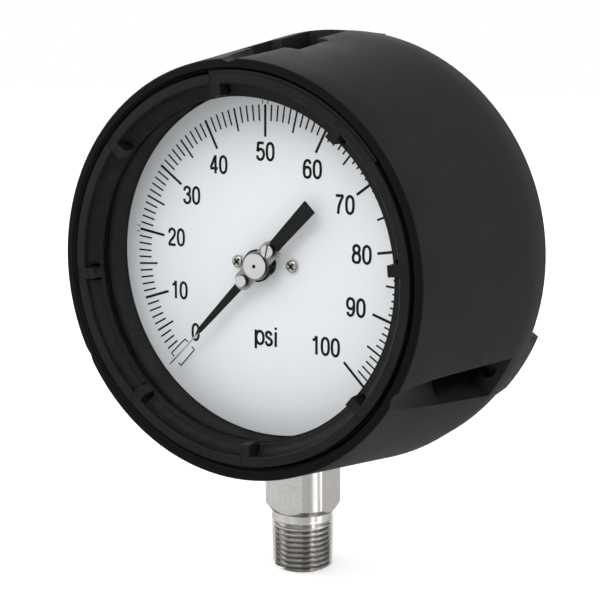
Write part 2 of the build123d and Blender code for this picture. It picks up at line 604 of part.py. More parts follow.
def front_ring():
    """The threaded ring that holds the window, with eight lugs for a spanner."""
    trough_depth = RING_FACE - RING_EDGE - RING_TROUGH_FLOOR
    section = Polyline(
        (RING_TROUGH_INNER, RING_TROUGH_FLOOR),
        (RING_TROUGH_INNER - RING_TROUGH_FLARE, RING_LIP_FACE),
        (RING_LIP_RADIUS, RING_LIP_FACE),
        (RING_LIP_RADIUS, GLASS_FRONT),
        (RING_SKIRT_INNER, GLASS_FRONT),
        (RING_SKIRT_INNER, WINDOW_SEAT + SIDE_GAP),
        (RING_RADIUS, WINDOW_SEAT + SIDE_GAP),
        (RING_RADIUS, RING_COLLAR_BACK),
        (RING_COLLAR, RING_COLLAR_BACK),
        (RING_COLLAR, RING_FACE - RING_COLLAR_EDGE),
        (RING_COLLAR - RING_COLLAR_EDGE, RING_FACE),
        (RING_FACE_INNER + RING_EDGE, RING_FACE),
        (RING_FACE_INNER, RING_FACE - RING_EDGE),
    )
    inward = RING_TROUGH_ELBOW * RING_TROUGH_WIDTH
    elbow = (RING_FACE_INNER - inward, RING_TROUGH_FLOOR + RING_TROUGH_ELBOW * trough_depth)
    trough = ThreePointArc(
        (RING_FACE_INNER, RING_FACE - RING_EDGE),
        elbow,
        (RING_TROUGH_INNER, RING_TROUGH_FLOOR),
    )
    ring = revolve(Plane.XZ * make_face(section + trough), axis=Axis.Z)
    crest = RING_RADIUS + RING_THREAD_HEIGHT
    for k in range(RING_THREAD_COUNT):
        low = WINDOW_SEAT + RING_THREAD_START + k * RING_THREAD_PITCH
        ring += turned([
            (RING_RADIUS - RING_THREAD_HEIGHT, low),
            (RING_RADIUS, low),
            (crest, low + RING_THREAD_HEIGHT),
            (crest, low + 2 * RING_THREAD_HEIGHT),
            (RING_RADIUS, low + 3 * RING_THREAD_HEIGHT),
            (RING_RADIUS - RING_THREAD_HEIGHT, low + 3 * RING_THREAD_HEIGHT),
        ])
    ledge = Polyline(
        (RING_COLLAR - RING_LEDGE_WIDTH, RING_COLLAR_BACK),
        (RING_COLLAR + RING_LEDGE_WIDTH, RING_COLLAR_BACK),
        (RING_COLLAR + RING_LEDGE_WIDTH, RING_FACE - RING_LEDGE_DROP),
        (RING_COLLAR - RING_LEDGE_WIDTH, RING_FACE - RING_LEDGE_DROP),
        close=True,
    )
    ledge = revolve(Plane.XZ * make_face(ledge), axis=Axis.Z, revolution_arc=RING_LEDGE_SWEEP)
    ring += Rot(0, 0, RING_LEDGE_ANGLE) * ledge
    half = LUG_WIDTH / 2
    lug_face = RING_FACE - LUG_FACE_DROP
    channel_end = RING_COLLAR - LUG_CHANNEL_MARGIN
    lug_outer = RING_FACE_INNER + PAST
    lug_back = LUG_PIT_FLOOR - LUG_ROOT_DEPTH
    pit = half + LUG_PIT_WIDTH
    dimple = ((LUG_INNER_RADIUS + RING_FACE_INNER) / 2, 0)
    for angle in even_angles(LUG_COUNT, LUG_FIRST_ANGLE):
        turn = Rot(0, 0, angle)
        ring -= turn * slab(RING_TROUGH_INNER, RING_FACE_INNER, -pit, pit, LUG_PIT_FLOOR, RING_FACE - PAST)
        ring += turn * slab(LUG_INNER_RADIUS, lug_outer, -half, half, lug_back, lug_face)
        ring -= turn * slab(LUG_INNER_RADIUS, channel_end, -half, half, lug_face, RING_FACE + PAST)
        ring -= turn * disc(LUG_DIMPLE_RADIUS, lug_face - LUG_DIMPLE_DEPTH, lug_face + PAST, dimple)
    return ring


def window_glass():
    """The flat safety-glass window."""
    return disc(GLASS_RADIUS, GLASS_BACK, GLASS_FRONT)


def window_gasket():
    """The rubber gasket under the window."""
    return washer(GLASS_RADIUS, BOWL_RADIUS + SEAT_GAP, WINDOW_SEAT, GLASS_BACK)


def dial_plate():
    """The white dial."""
    dial = washer(DIAL_RADIUS, DIAL_HOLE_RADIUS, WALL_FRONT, DIAL_FRONT)
    for side in (-1, 1):
        place = (side * DIAL_SCREW_OFFSET, 0)
        dial -= disc(DIAL_SCREW_RADIUS + SEAT_GAP, WALL_FRONT - PAST, DIAL_FRONT + PAST, place)
    return dial


def dial_screws():
    """The two screws that hold the dial to the solid wall."""
    return [
        pan_screw(
            (side * DIAL_SCREW_OFFSET, 0), DIAL_FRONT,
            DIAL_SCREW_HEAD_RADIUS, DIAL_SCREW_HEAD, DIAL_SCREW_RADIUS, DIAL_SCREW_LENGTH,
        )
        for side in (-1, 1)
    ]


# ---- Stem ---------------------------------------------------------------------------------

def crest_radius(height):
    """Crest radius of the taper thread at a height above its open end."""
    return THREAD_RADIUS - THREAD_TAPER * (BAR_BOTTOM - height)


def threaded_stub():
    """The taper thread below the bar, as rings at the thread's pitch, standing along +Z."""
    top = THREAD_LENGTH
    rings = int((top - THREAD_LEAD / 2) / THREAD_PITCH)
    start = top - rings * THREAD_PITCH
    outline = [(0, 0), (crest_radius(0) - THREAD_LEAD, 0)]
    for k in range(rings):
        low = start + k * THREAD_PITCH
        middle = low + THREAD_PITCH / 2
        crest = crest_radius(middle)
        root = crest - THREAD_DEPTH
        lead_limit = crest_radius(0) - THREAD_LEAD + middle
        crest = max(min(crest, lead_limit), root)
        outline.append((root, low + THREAD_FLAT / 2))
        outline.append((crest, middle - THREAD_FLAT / 2))
        outline.append((crest, middle + THREAD_FLAT / 2))
        outline.append((root, low + THREAD_PITCH - THREAD_FLAT / 2))
    neck = crest_radius(top) - NECK_DROP
    outline += [(neck, top + NECK_SLOPE), (neck, BAR_BOTTOM + PAST), (0, BAR_BOTTOM + PAST)]
    return turned(outline)


def socket_stem():
    """The stem: taper thread, bar with wrench flats, and the head inside the case."""
    stub = Rot(-90, 0, 0) * threaded_stub()
    bar_length = HEAD_BOTTOM + PAST - BAR_END
    round_bar = Cylinder(BAR_RADIUS, bar_length, align=(Align.CENTER, Align.CENTER, Align.MIN))
    low_rim = round_bar.edges().filter_by(GeomType.CIRCLE).group_by(Axis.Z)[0]
    round_bar = chamfer(low_rim, BAR_CHAMFER, BAR_CHAMFER_HEIGHT)
    square = Box(BAR_FLATS, BAR_FLATS, bar_length, align=(Align.CENTER, Align.CENTER, Align.MIN))
    bar = Rot(-90, 0, 0) * (round_bar & square)
    stem = Pos(0, BAR_END, 0) * bar
    stem += Pos(0, THREAD_END, 0) * stub
    half_head = HEAD_WIDTH / 2
    stem += slab(-half_head, half_head, HEAD_BOTTOM, HEAD_TOP, -HALF_FLATS, HALF_FLATS)
    half_post = POST_WIDTH / 2
    stem += slab(-half_post, half_post, HEAD_TOP - PAST, POST_TOP, POST_REAR, POST_FRONT)
    width = TUBE_WIDTH + 2 * BRAZE_GAP
    thickness = TUBE_THICKNESS + 2 * BRAZE_GAP
    stem -= tube_arc(width, thickness, TUBE_ROOT_ANGLE - TUBE_SLOT_SWEEP, TUBE_ROOT_ANGLE)
    root = polar(TUBE_RADIUS, TUBE_ROOT_ANGLE)
    along = (Align.CENTER, Align.CENTER, Align.MIN)
    rise = Cylinder(PRESSURE_BORE_RADIUS, root[1] + PAST - THREAD_END + PAST, align=along)
    stem -= Pos(0, THREAD_END - PAST, 0) * Rot(-90, 0, 0) * rise
    cross = Cylinder(CROSS_BORE_RADIUS, PAST - root[0], align=along)
    stem -= Pos(0, root[1], TUBE_CENTRE) * Rot(0, -90, 0) * cross
    screw_end = SOCKET_SCREW_SEAT - SOCKET_SCREW_LENGTH - PAST
    for side in (-1, 1):
        place = (side * SOCKET_SCREW_OFFSET, SOCKET_SCREW_HEIGHT)
        stem -= disc(SOCKET_SCREW_RADIUS + THREAD_FIT, screw_end, HALF_FLATS + PAST, place)
    for place in POST_SCREWS:
        stem -= disc(POST_SCREW_RADIUS + THREAD_FIT, POST_FRONT - POST_SCREW_LENGTH, POST_FRONT + PAST, place)
    return stem


def socket_gasket():
    """The gasket between the stem's head and the floor of the case."""
    half_head = HEAD_WIDTH / 2
    hole = HALF_FLATS + STEM_GAP
    deep = HALF_FLATS + SOCKET_GASKET_RIM
    pad = slab(-half_head, half_head, FLOOR_PAD_TOP, HEAD_BOTTOM, -deep, deep)
    return pad - slab(-hole, hole, FLOOR_PAD_TOP - PAST, HEAD_BOTTOM + PAST, -hole, hole)


def socket_screws():
    """The two screws that pull the stem's head against the case."""
    return [
        pan_screw(
            (side * SOCKET_SCREW_OFFSET, SOCKET_SCREW_HEIGHT), SOCKET_SCREW_SEAT,
            SOCKET_SCREW_HEAD_RADIUS, SOCKET_SCREW_HEAD, SOCKET_SCREW_RADIUS, SOCKET_SCREW_LENGTH,
        )
        for side in (-1, 1)
    ]


# ---- Bourdon tube ---------------------------------------------------------------------------

def hollow_tube(start, end):
    """A stretch of the C-shaped tube."""
    outside = tube_arc(TUBE_WIDTH, TUBE_THICKNESS, start, end)
    width = TUBE_WIDTH - 2 * TUBE_WALL
    inside = tube_arc(width, TUBE_THICKNESS - 2 * TUBE_WALL, start - PAST, end + PAST)
    return outside - inside


def bourdon_tube_fixed():
    """The half of the tube that is brazed into the stem's head."""
    gap_angle = math.degrees(FLEX_GAP / TUBE_RADIUS)
    return hollow_tube(TUBE_FLEX_ANGLE + gap_angle, TUBE_ROOT_ANGLE - TUBE_ROOT_GAP)


def bourdon_tube_free():
    """The half of the tube that moves as the pressure rises."""
    return hollow_tube(TUBE_TIP_ANGLE, TUBE_FLEX_ANGLE)


def tube_tip():
    """The end piece that closes the tube and carries the link's pin."""
    inner = TUBE_RADIUS - TIP_INWARD
    outer = TUBE_RADIUS + TIP_OUTWARD
    block = Rot(0, 0, TUBE_TIP_ANGLE) * slab(inner, outer, -TIP_LENGTH, 0, TIP_REAR, TIP_FRONT)
    block = fillet(block.edges().filter_by(Axis.Z), TIP_EDGE)
    buried = TIP_FRONT - PAST
    seat = LINK_FRONT + SIDE_GAP
    collar = LINK_PIN_RADIUS + LINK_PIN_HEAD
    shoulder = disc(collar, buried, LINK_BACK - SIDE_GAP, LINK_END)
    pin = disc(LINK_PIN_RADIUS, buried, seat + LINK_PIN_HEAD / 2, LINK_END)
    return block + shoulder + pin + disc(collar, seat, seat + LINK_PIN_HEAD, LINK_END)


# ---- Movement -------------------------------------------------------------------------------

def movement_plate(bottom, back):
    """A movement plate with its pivot and screw holes."""
    front = back + PLATE_THICKNESS
    blank = slab(-PLATE_HALF_WIDTH, PLATE_HALF_WIDTH, bottom, PLATE_TOP, back, front)
    blank = fillet(blank.edges().filter_by(Axis.Z), PLATE_CORNER)
    for place in PILLARS:
        blank -= disc(PLATE_SCREW_RADIUS + THREAD_FIT, back - PAST, front + PAST, place)
    blank -= disc(PIVOT_RADIUS + RUNNING_FIT, back - PAST, front + PAST, SECTOR_PIVOT)
    return blank


def back_plate():
    """The movement's back plate, screwed to the stem's head."""
    body = movement_plate(BACK_PLATE_BOTTOM, BACK_PLATE_REAR)
    rear = BACK_PLATE_REAR - PAST
    front = BACK_PLATE_FRONT + PAST
    body -= disc(PIVOT_RADIUS + RUNNING_FIT, rear, front)
    for place in POST_SCREWS:
        body -= disc(POST_SCREW_RADIUS + THREAD_FIT, rear, front, place)
    return body


def front_plate():
    """The movement's front plate."""
    body = movement_plate(FRONT_PLATE_BOTTOM, FRONT_PLATE_REAR)
    body -= disc(ARBOR_RADIUS + RUNNING_FIT, FRONT_PLATE_REAR - PAST, FRONT_PLATE_FRONT + PAST)
    return body


def plate_pillars():
    """The pillars that space the two plates."""
    bore = PLATE_SCREW_RADIUS + THREAD_FIT
    return [washer(PILLAR_RADIUS, bore, BACK_PLATE_FRONT, FRONT_PLATE_REAR, place) for place in PILLARS]


def plate_screws():
    """The screws of both plates."""
    solids = []
    for place in PILLARS:
        screw = pan_screw(
            place, FRONT_PLATE_FRONT, PLATE_SCREW_HEAD_RADIUS, PLATE_SCREW_HEAD,
            PLATE_SCREW_RADIUS, PLATE_SCREW_LENGTH,
        )
        solids.append(screw)
    for place in POST_SCREWS:
        screw = pan_screw(
            place, BACK_PLATE_FRONT, PLATE_SCREW_HEAD_RADIUS, PLATE_SCREW_HEAD,
            POST_SCREW_RADIUS, PLATE_THICKNESS + POST_SCREW_LENGTH - BLIND_END,
        )
        solids.append(screw)
    return solids


def arc_points(radius, start, end):
    """Points along an arc, close enough together for a rim that bears no load."""
    return [polar(radius, start + (end - start) * k / ARC_STEPS) for k in range(ARC_STEPS + 1)]


def sector_gear():
    """The toothed sector with its tail."""
    step = 360 / SECTOR_TEETH
    first = 90 - SECTOR_SWING - 2 * step
    last = 90 + 2 * step
    count = int((last - first) / step)
    angles = [90 + step / 2 - k * step for k in range(-2, count - 1)]
    root = SECTOR_RADIUS - TOOTH_DEPTH * GEAR_MODULE
    low = min(angles) - step
    high = max(angles) + step
    edge = arc_points(root, low, high)
    fan = make_face(Polyline((0, 0), *edge, close=True))
    inner = arc_points(root - SECTOR_RIM, low + SECTOR_ARM_ANGLE, high - SECTOR_ARM_ANGLE)
    low_corner = polar(SECTOR_WINDOW_RADIUS, low + 2 * SECTOR_ARM_ANGLE)
    high_corner = polar(SECTOR_WINDOW_RADIUS, high - 2 * SECTOR_ARM_ANGLE)
    fan -= make_face(Polyline(high_corner, low_corner, *inner, close=True))
    fan += Circle(SECTOR_HUB_RADIUS)
    fan = toothed_outline(GEAR_MODULE, SECTOR_TEETH, angles, fan)
    tail = polar(SECTOR_TAIL_LENGTH, SECTOR_TAIL_ANGLE)
    fan += bar_between((0, 0), tail, SECTOR_TAIL_WIDTH)
    fan -= Circle(SECTOR_ARBOR_RADIUS + PRESS_FIT)
    fan -= Pos(*tail) * Circle(LINK_SCREW_RADIUS + RUNNING_FIT)
    return plate(Pos(*SECTOR_PIVOT) * fan, SECTOR_BACK, SECTOR_FRONT)


def sector_arbor():
    """The sector's arbor between the plates."""
    body = disc(SECTOR_ARBOR_RADIUS, BACK_PLATE_FRONT + SIDE_GAP, FRONT_PLATE_REAR - SIDE_GAP, SECTOR_PIVOT)
    pivots = disc(PIVOT_RADIUS, BACK_PLATE_REAR + SIDE_GAP, FRONT_PLATE_FRONT, SECTOR_PIVOT)
    return body + pivots


def pinion_arbor():
    """The pointer arbor with its pinion."""
    outline = toothed_outline(GEAR_MODULE, PINION_TEETH, even_angles(PINION_TEETH, -90))
    back = SECTOR_BACK - PINION_OVERHANG
    arbor = disc(ARBOR_RADIUS, BACK_PLATE_FRONT + SIDE_GAP, BLADE_BACK)
    pivot = disc(PIVOT_RADIUS, BACK_PLATE_REAR + SIDE_GAP, BACK_PLATE_FRONT + PAST)
    return arbor + pivot + plate(outline, back, back + PINION_FACE)


def hairspring_collet():
    """The collet that holds the hairspring on the arbor."""
    return washer(COLLET_RADIUS, ARBOR_RADIUS + PRESS_FIT, SPRING_BACK, SPRING_BACK + SPRING_WIDTH)


def hairspring():
    """The flat spiral spring, from the collet out to its stud."""
    start = COLLET_RADIUS + SPRING_STRIP / 2 + RUNNING_FIT
    steps = int(SPRING_TURNS * ARC_STEPS)
    angles = [360 * SPRING_TURNS * k / steps for k in range(steps + 1)]
    radii = [start + (SPRING_OUTER_RADIUS - start) * k / steps for k in range(steps + 1)]
    middle = [polar(radius, angle) for radius, angle in zip(radii, angles)]
    outside = Spline(*[polar(r + SPRING_STRIP / 2, a) for r, a in zip(radii, angles)])
    inside = Spline(*[polar(r - SPRING_STRIP / 2, a) for r, a in zip(radii, angles)])
    ends = [Line(outside @ 0, inside @ 0), Line(outside @ 1, inside @ 1)]
    strip = make_face(Curve() + [outside, inside] + ends)
    stud = Pos(*middle[-1]) * Circle(STUD_RADIUS + PRESS_FIT)
    return plate(strip - stud, SPRING_BACK, SPRING_BACK + SPRING_WIDTH)


def hairspring_stud():
    """The stud on the front plate that holds the outer end of the hairspring."""
    place = polar(SPRING_OUTER_RADIUS, 360 * SPRING_TURNS)
    return disc(STUD_RADIUS, SPRING_BACK - SIDE_GAP, FRONT_PLATE_REAR, place)


def link_bar():
    """The link from the sector's tail to the tube tip."""
    outline = bar_between(TAIL_END, LINK_END, LINK_WIDTH)
    outline -= Pos(*TAIL_END) * Circle(LINK_SCREW_RADIUS + PRESS_FIT)
    outline -= Pos(*LINK_END) * Circle(LINK_PIN_RADIUS + OPEN_PIVOT_GAP)
    return plate(outline, LINK_BACK, LINK_FRONT)


def link_screw():
    """The shouldered screw that pins the link to the sector's tail."""
    seat = SECTOR_FRONT + SIDE_GAP
    top = seat + LINK_SCREW_HEAD
    shank = disc(LINK_SCREW_RADIUS, LINK_BACK, seat, TAIL_END)
    head = disc(LINK_SCREW_RADIUS + LINK_SCREW_RIM, seat, top, TAIL_END)
    half_slot = LINK_SCREW_SLOT / 2
    length = LINK_SCREW_RADIUS + LINK_SCREW_RIM + PAST
    slot = slab(-length, length, -half_slot, half_slot, top - LINK_SCREW_SLOT, top + PAST)
    return shank + head - Pos(*TAIL_END, 0) * slot


# ---- Pointer ----------------------------------------------------------------------------------

def pointer_bushing():
    """The toothed bushing that is pressed on the arbor and carries the pointer."""
    top = BLADE_BACK - 2 * LAYER_GAP
    middle = top - BUSHING_FACE
    outline = toothed_outline(TRIM_MODULE, BUSHING_TEETH, even_angles(BUSHING_TEETH, TAIL_ANGLE))
    foot_disc = disc(BUSHING_FOOT_RADIUS, BUSHING_BACK, middle)
    stub = disc(BUSHING_STUB_RADIUS, top, HUB_PLATE_FRONT - LAYER_GAP)
    bore = disc(ARBOR_RADIUS + PRESS_FIT, BUSHING_BACK - PAST, BLADE_BACK)
    return plate(outline, middle, top) + foot_disc + stub - bore


def pointer_blade():
    """The black blade: balance tail, hub and the broad part of the needle."""
    tail = Polyline(
        (0, -TAIL_ROOT_WIDTH / 2),
        (TAIL_LENGTH, -TAIL_END_WIDTH / 2),
        (TAIL_LENGTH, TAIL_END_WIDTH / 2),
        (0, TAIL_ROOT_WIDTH / 2),
        close=True,
    )
    needle = Polyline(
        (0, -NEEDLE_ROOT_WIDTH / 2),
        (-NEEDLE_BLACK_END + NEEDLE_POINT, -NEEDLE_END_WIDTH / 2),
        (-NEEDLE_BLACK_END, 0),
        (-NEEDLE_BLACK_END + NEEDLE_POINT, NEEDLE_END_WIDTH / 2),
        (0, NEEDLE_ROOT_WIDTH / 2),
        close=True,
    )
    outline = make_face(tail) + make_face(needle) + Circle(BLADE_HUB_RADIUS)
    outline += Pos(-TRIM_RADIUS, 0) * Circle(HUB_PIN_HEAD_RADIUS)
    outline -= Circle(BUSHING_STUB_RADIUS + RUNNING_FIT)
    outline -= Pos(TRIM_RADIUS, 0) * Circle(TRIM_SCREW_RADIUS + RUNNING_FIT)
    outline -= Pos(-TRIM_RADIUS, 0) * Circle(HUB_PIN_RADIUS + PRESS_FIT)
    return plate(Rot(0, 0, TAIL_ANGLE) * outline, BLADE_BACK, BLADE_FRONT)


def pointer_knife():
    """The thin bright tip that lies over the scale."""
    half = KNIFE_WIDTH / 2
    outline = Polyline(
        (-KNIFE_START, -half),
        (-KNIFE_END + KNIFE_POINT, -half),
        (-KNIFE_END, 0),
        (-KNIFE_END + KNIFE_POINT, half),
        (-KNIFE_START, half),
        close=True,
    )
    return plate(Rot(0, 0, TAIL_ANGLE) * make_face(outline), BLADE_BACK - KNIFE_DEPTH, BLADE_BACK)


def hub_plate():
    """The long plate on the blade that carries the adjusting screw and the pin."""
    outline = Circle(HUB_PLATE_MIDDLE_RADIUS) + SlotCenterToCenter(2 * TRIM_RADIUS, 2 * HUB_PLATE_END_RADIUS)
    waists = [corner for corner in outline.vertices() if abs(corner.X) < HUB_PLATE_MIDDLE_RADIUS]
    outline = fillet(waists, HUB_PLATE_WAIST)
    outline -= Circle(BUSHING_STUB_RADIUS + RUNNING_FIT)
    outline -= Pos(TRIM_RADIUS, 0) * Circle(TRIM_SCREW_RADIUS + RUNNING_FIT)
    outline -= Pos(-TRIM_RADIUS, 0) * Circle(HUB_PIN_RADIUS + PRESS_FIT)
    notch = Rectangle(2 * HUB_PLATE_END_RADIUS, HUB_PLATE_NOTCH)
    outline -= Pos(TRIM_RADIUS + HUB_PLATE_END_RADIUS, 0) * notch
    past_horns = Rectangle(2 * HUB_PLATE_END_RADIUS, 2 * HUB_PLATE_END_RADIUS)
    outline -= Pos(TRIM_RADIUS + HUB_PLATE_HORN + HUB_PLATE_END_RADIUS, 0) * past_horns
    return plate(Rot(0, 0, TAIL_ANGLE) * outline, BLADE_FRONT, HUB_PLATE_FRONT)


def hub_disc():
    """The bright disc that covers the pointer's hub."""
    body = disc(HUB_DISC_RADIUS, HUB_PLATE_FRONT, HUB_DISC_FRONT)
    body = chamfer(body.edges().group_by(Axis.Z)[-1], HUB_DISC_EDGE)
    return body - disc(HUB_DOT_RADIUS, HUB_DISC_FRONT - HUB_DOT_DEPTH, HUB_DISC_FRONT + PAST)


def hub_pin():
    """The round-headed pin opposite the adjusting screw."""
    place = polar(TRIM_RADIUS, REST_ANGLE)
    head = disc(HUB_PIN_HEAD_RADIUS, HUB_PLATE_FRONT, HUB_PLATE_FRONT + HUB_PIN_HEAD, place)
    head = chamfer(head.edges().group_by(Axis.Z)[-1], HUB_PIN_EDGE)
    return head + disc(HUB_PIN_RADIUS, BLADE_BACK, HUB_PLATE_FRONT + HUB_PIN_HEAD / 2, place)


def trim_screw():
    """The slotted adjusting screw, whose pinion turns the pointer on its bushing."""
    place = polar(TRIM_RADIUS, TAIL_ANGLE)
    seat = HUB_PLATE_FRONT + LAYER_GAP
    front = seat + TRIM_SCREW_HEAD
    head = disc(TRIM_SCREW_HEAD_RADIUS, seat, front, place)
    head = chamfer(head.edges().group_by(Axis.Z)[-1], TRIM_SCREW_EDGE)
    half_slot = TRIM_SLOT_WIDTH / 2
    half_length = TRIM_SCREW_HEAD_RADIUS + PAST
    slot = slab(-half_length, half_length, -half_slot, half_slot, front - TRIM_SLOT_DEPTH, front + PAST)
    head -= Pos(place[0], place[1], 0) * Rot(0, 0, TRIM_SLOT_ANGLE) * slot
    top = BLADE_BACK - SIDE_GAP
    teeth = even_angles(TRIM_TEETH, TAIL_ANGLE + 180 + 180 / TRIM_TEETH)
    pinion = plate(toothed_outline(TRIM_MODULE, TRIM_TEETH, teeth), top - TRIM_TOOTH_FACE, top)
    shank = disc(TRIM_SCREW_RADIUS, top - PAST, seat + TRIM_SCREW_HEAD / 2, place)
    return head + shank + Pos(place[0], place[1], 0) * pinion


# ---- Blow-out back ------------------------------------------------------------------------------

def back_gasket():
    """The gasket between the blow-out back and the case."""
    back = COVER_SHOULDER - GASKET_THICKNESS
    return washer(COVER_BORE - SEAT_GAP, COVER_SHOULDER_RADIUS + SEAT_GAP, back, COVER_SHOULDER)


def blowout_back():
    """The cover that the case throws off backwards if the tube bursts."""
    front = COVER_SHOULDER - GASKET_THICKNESS
    back = front - COVER_THICKNESS
    radius = COVER_BORE - SEAT_GAP
    cover = disc(radius, back, front)
    cover = chamfer(cover.edges().group_by(Axis.Z)[0], COVER_EDGE)
    outer = radius - COVER_RIM_INSET
    inner = outer - COVER_RIM_INSET
    rib_back = back - COVER_RIB_HEIGHT
    half_rib = COVER_RIB_WIDTH / 2
    cover += washer(outer, inner, rib_back, back)
    cover += disc(COVER_BOSS_RADIUS, rib_back, back)
    rib = slab(COVER_BOSS_RADIUS - PAST, inner + PAST, -half_rib, half_rib, rib_back, back)
    for angle in even_angles(COVER_RIBS, 180 / COVER_RIBS):
        cover += Rot(0, 0, angle) * rib
    return cover


# ---- Writing the nodes ----------------------------------------------------------------------------

NODES = {
    "case_body": case_body,
    "front_ring": front_ring,
    "window_glass": window_glass,
    "window_gasket": window_gasket,
    "dial_plate": dial_plate,
    "dial_screws": dial_screws,
    "socket_stem": socket_stem,
    "socket_gasket": socket_gasket,
    "socket_screws": socket_screws,
    "bourdon_tube_fixed": bourdon_tube_fixed,
    "bourdon_tube_free": bourdon_tube_free,
    "tube_tip": tube_tip,
    "back_plate": back_plate,
    "front_plate": front_plate,
    "plate_pillars": plate_pillars,
    "plate_screws": plate_screws,
    "sector_gear": sector_gear,
    "sector_arbor": sector_arbor,
    "pinion_arbor": pinion_arbor,
    "hairspring_collet": hairspring_collet,
    "hairspring": hairspring,
    "hairspring_stud": hairspring_stud,
    "link_bar": link_bar,
    "link_screw": link_screw,
    "pointer_bushing": pointer_bushing,
    "pointer_blade": pointer_blade,
    "pointer_knife": pointer_knife,
    "hub_plate": hub_plate,
    "hub_disc": hub_disc,
    "hub_pin": hub_pin,
    "trim_screw": trim_screw,
    "back_gasket": back_gasket,
    "blowout_back": blowout_back,
}

os.makedirs("parts", exist_ok=True)
for name, build in NODES.items():
    made = build()
    solids = made if isinstance(made, list) else made.solids()
    placed = [TO_PART * solid for solid in solids]
    shape = placed[0] if len(placed) == 1 else Compound(children=placed)
    export_step(shape, f"parts/{name}.step")
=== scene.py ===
"""The looks of a Bourdon-tube pressure gauge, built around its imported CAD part.

Everything is in metres in the part's own frame: Z up the stem, the dial faces -Y.
"""
import json
import math

import bmesh
import bpy
from mathutils import Matrix, Vector


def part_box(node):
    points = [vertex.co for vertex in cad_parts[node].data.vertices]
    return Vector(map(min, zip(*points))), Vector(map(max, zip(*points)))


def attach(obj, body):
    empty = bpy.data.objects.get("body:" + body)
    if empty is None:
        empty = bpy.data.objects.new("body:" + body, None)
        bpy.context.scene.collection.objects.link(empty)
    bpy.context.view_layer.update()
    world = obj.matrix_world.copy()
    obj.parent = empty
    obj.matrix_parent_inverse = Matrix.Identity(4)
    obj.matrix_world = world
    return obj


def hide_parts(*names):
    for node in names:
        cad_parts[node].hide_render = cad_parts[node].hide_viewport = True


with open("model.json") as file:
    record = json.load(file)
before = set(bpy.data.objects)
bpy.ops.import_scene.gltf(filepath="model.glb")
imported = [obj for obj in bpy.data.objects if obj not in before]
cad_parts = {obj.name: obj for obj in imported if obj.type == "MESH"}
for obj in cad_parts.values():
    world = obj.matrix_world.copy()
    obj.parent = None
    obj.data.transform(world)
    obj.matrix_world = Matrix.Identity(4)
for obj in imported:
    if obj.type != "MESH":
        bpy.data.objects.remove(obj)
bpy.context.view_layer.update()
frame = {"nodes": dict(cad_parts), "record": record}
nodes = frame["nodes"]
joints = {joint["name"]: joint for joint in frame["record"]["behaviour"]["joints"]}

MM = 0.001
AXIS = Vector(joints["pointer_sweep"]["pos_m"])
DIAL_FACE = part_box("dial_plate")[0].y
RIM_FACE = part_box("case_body")[0].y
EDGE_ROUNDING = 0.22 * MM    # of the moulded plastic's edges


def place(x, y, depth):
    """A point given in millimetres across the dial from the pointer axis, at a depth in metres."""
    return Vector((AXIS.x + x * MM, depth, AXIS.z + y * MM))


# ---- Materials ------------------------------------------------------------------------------

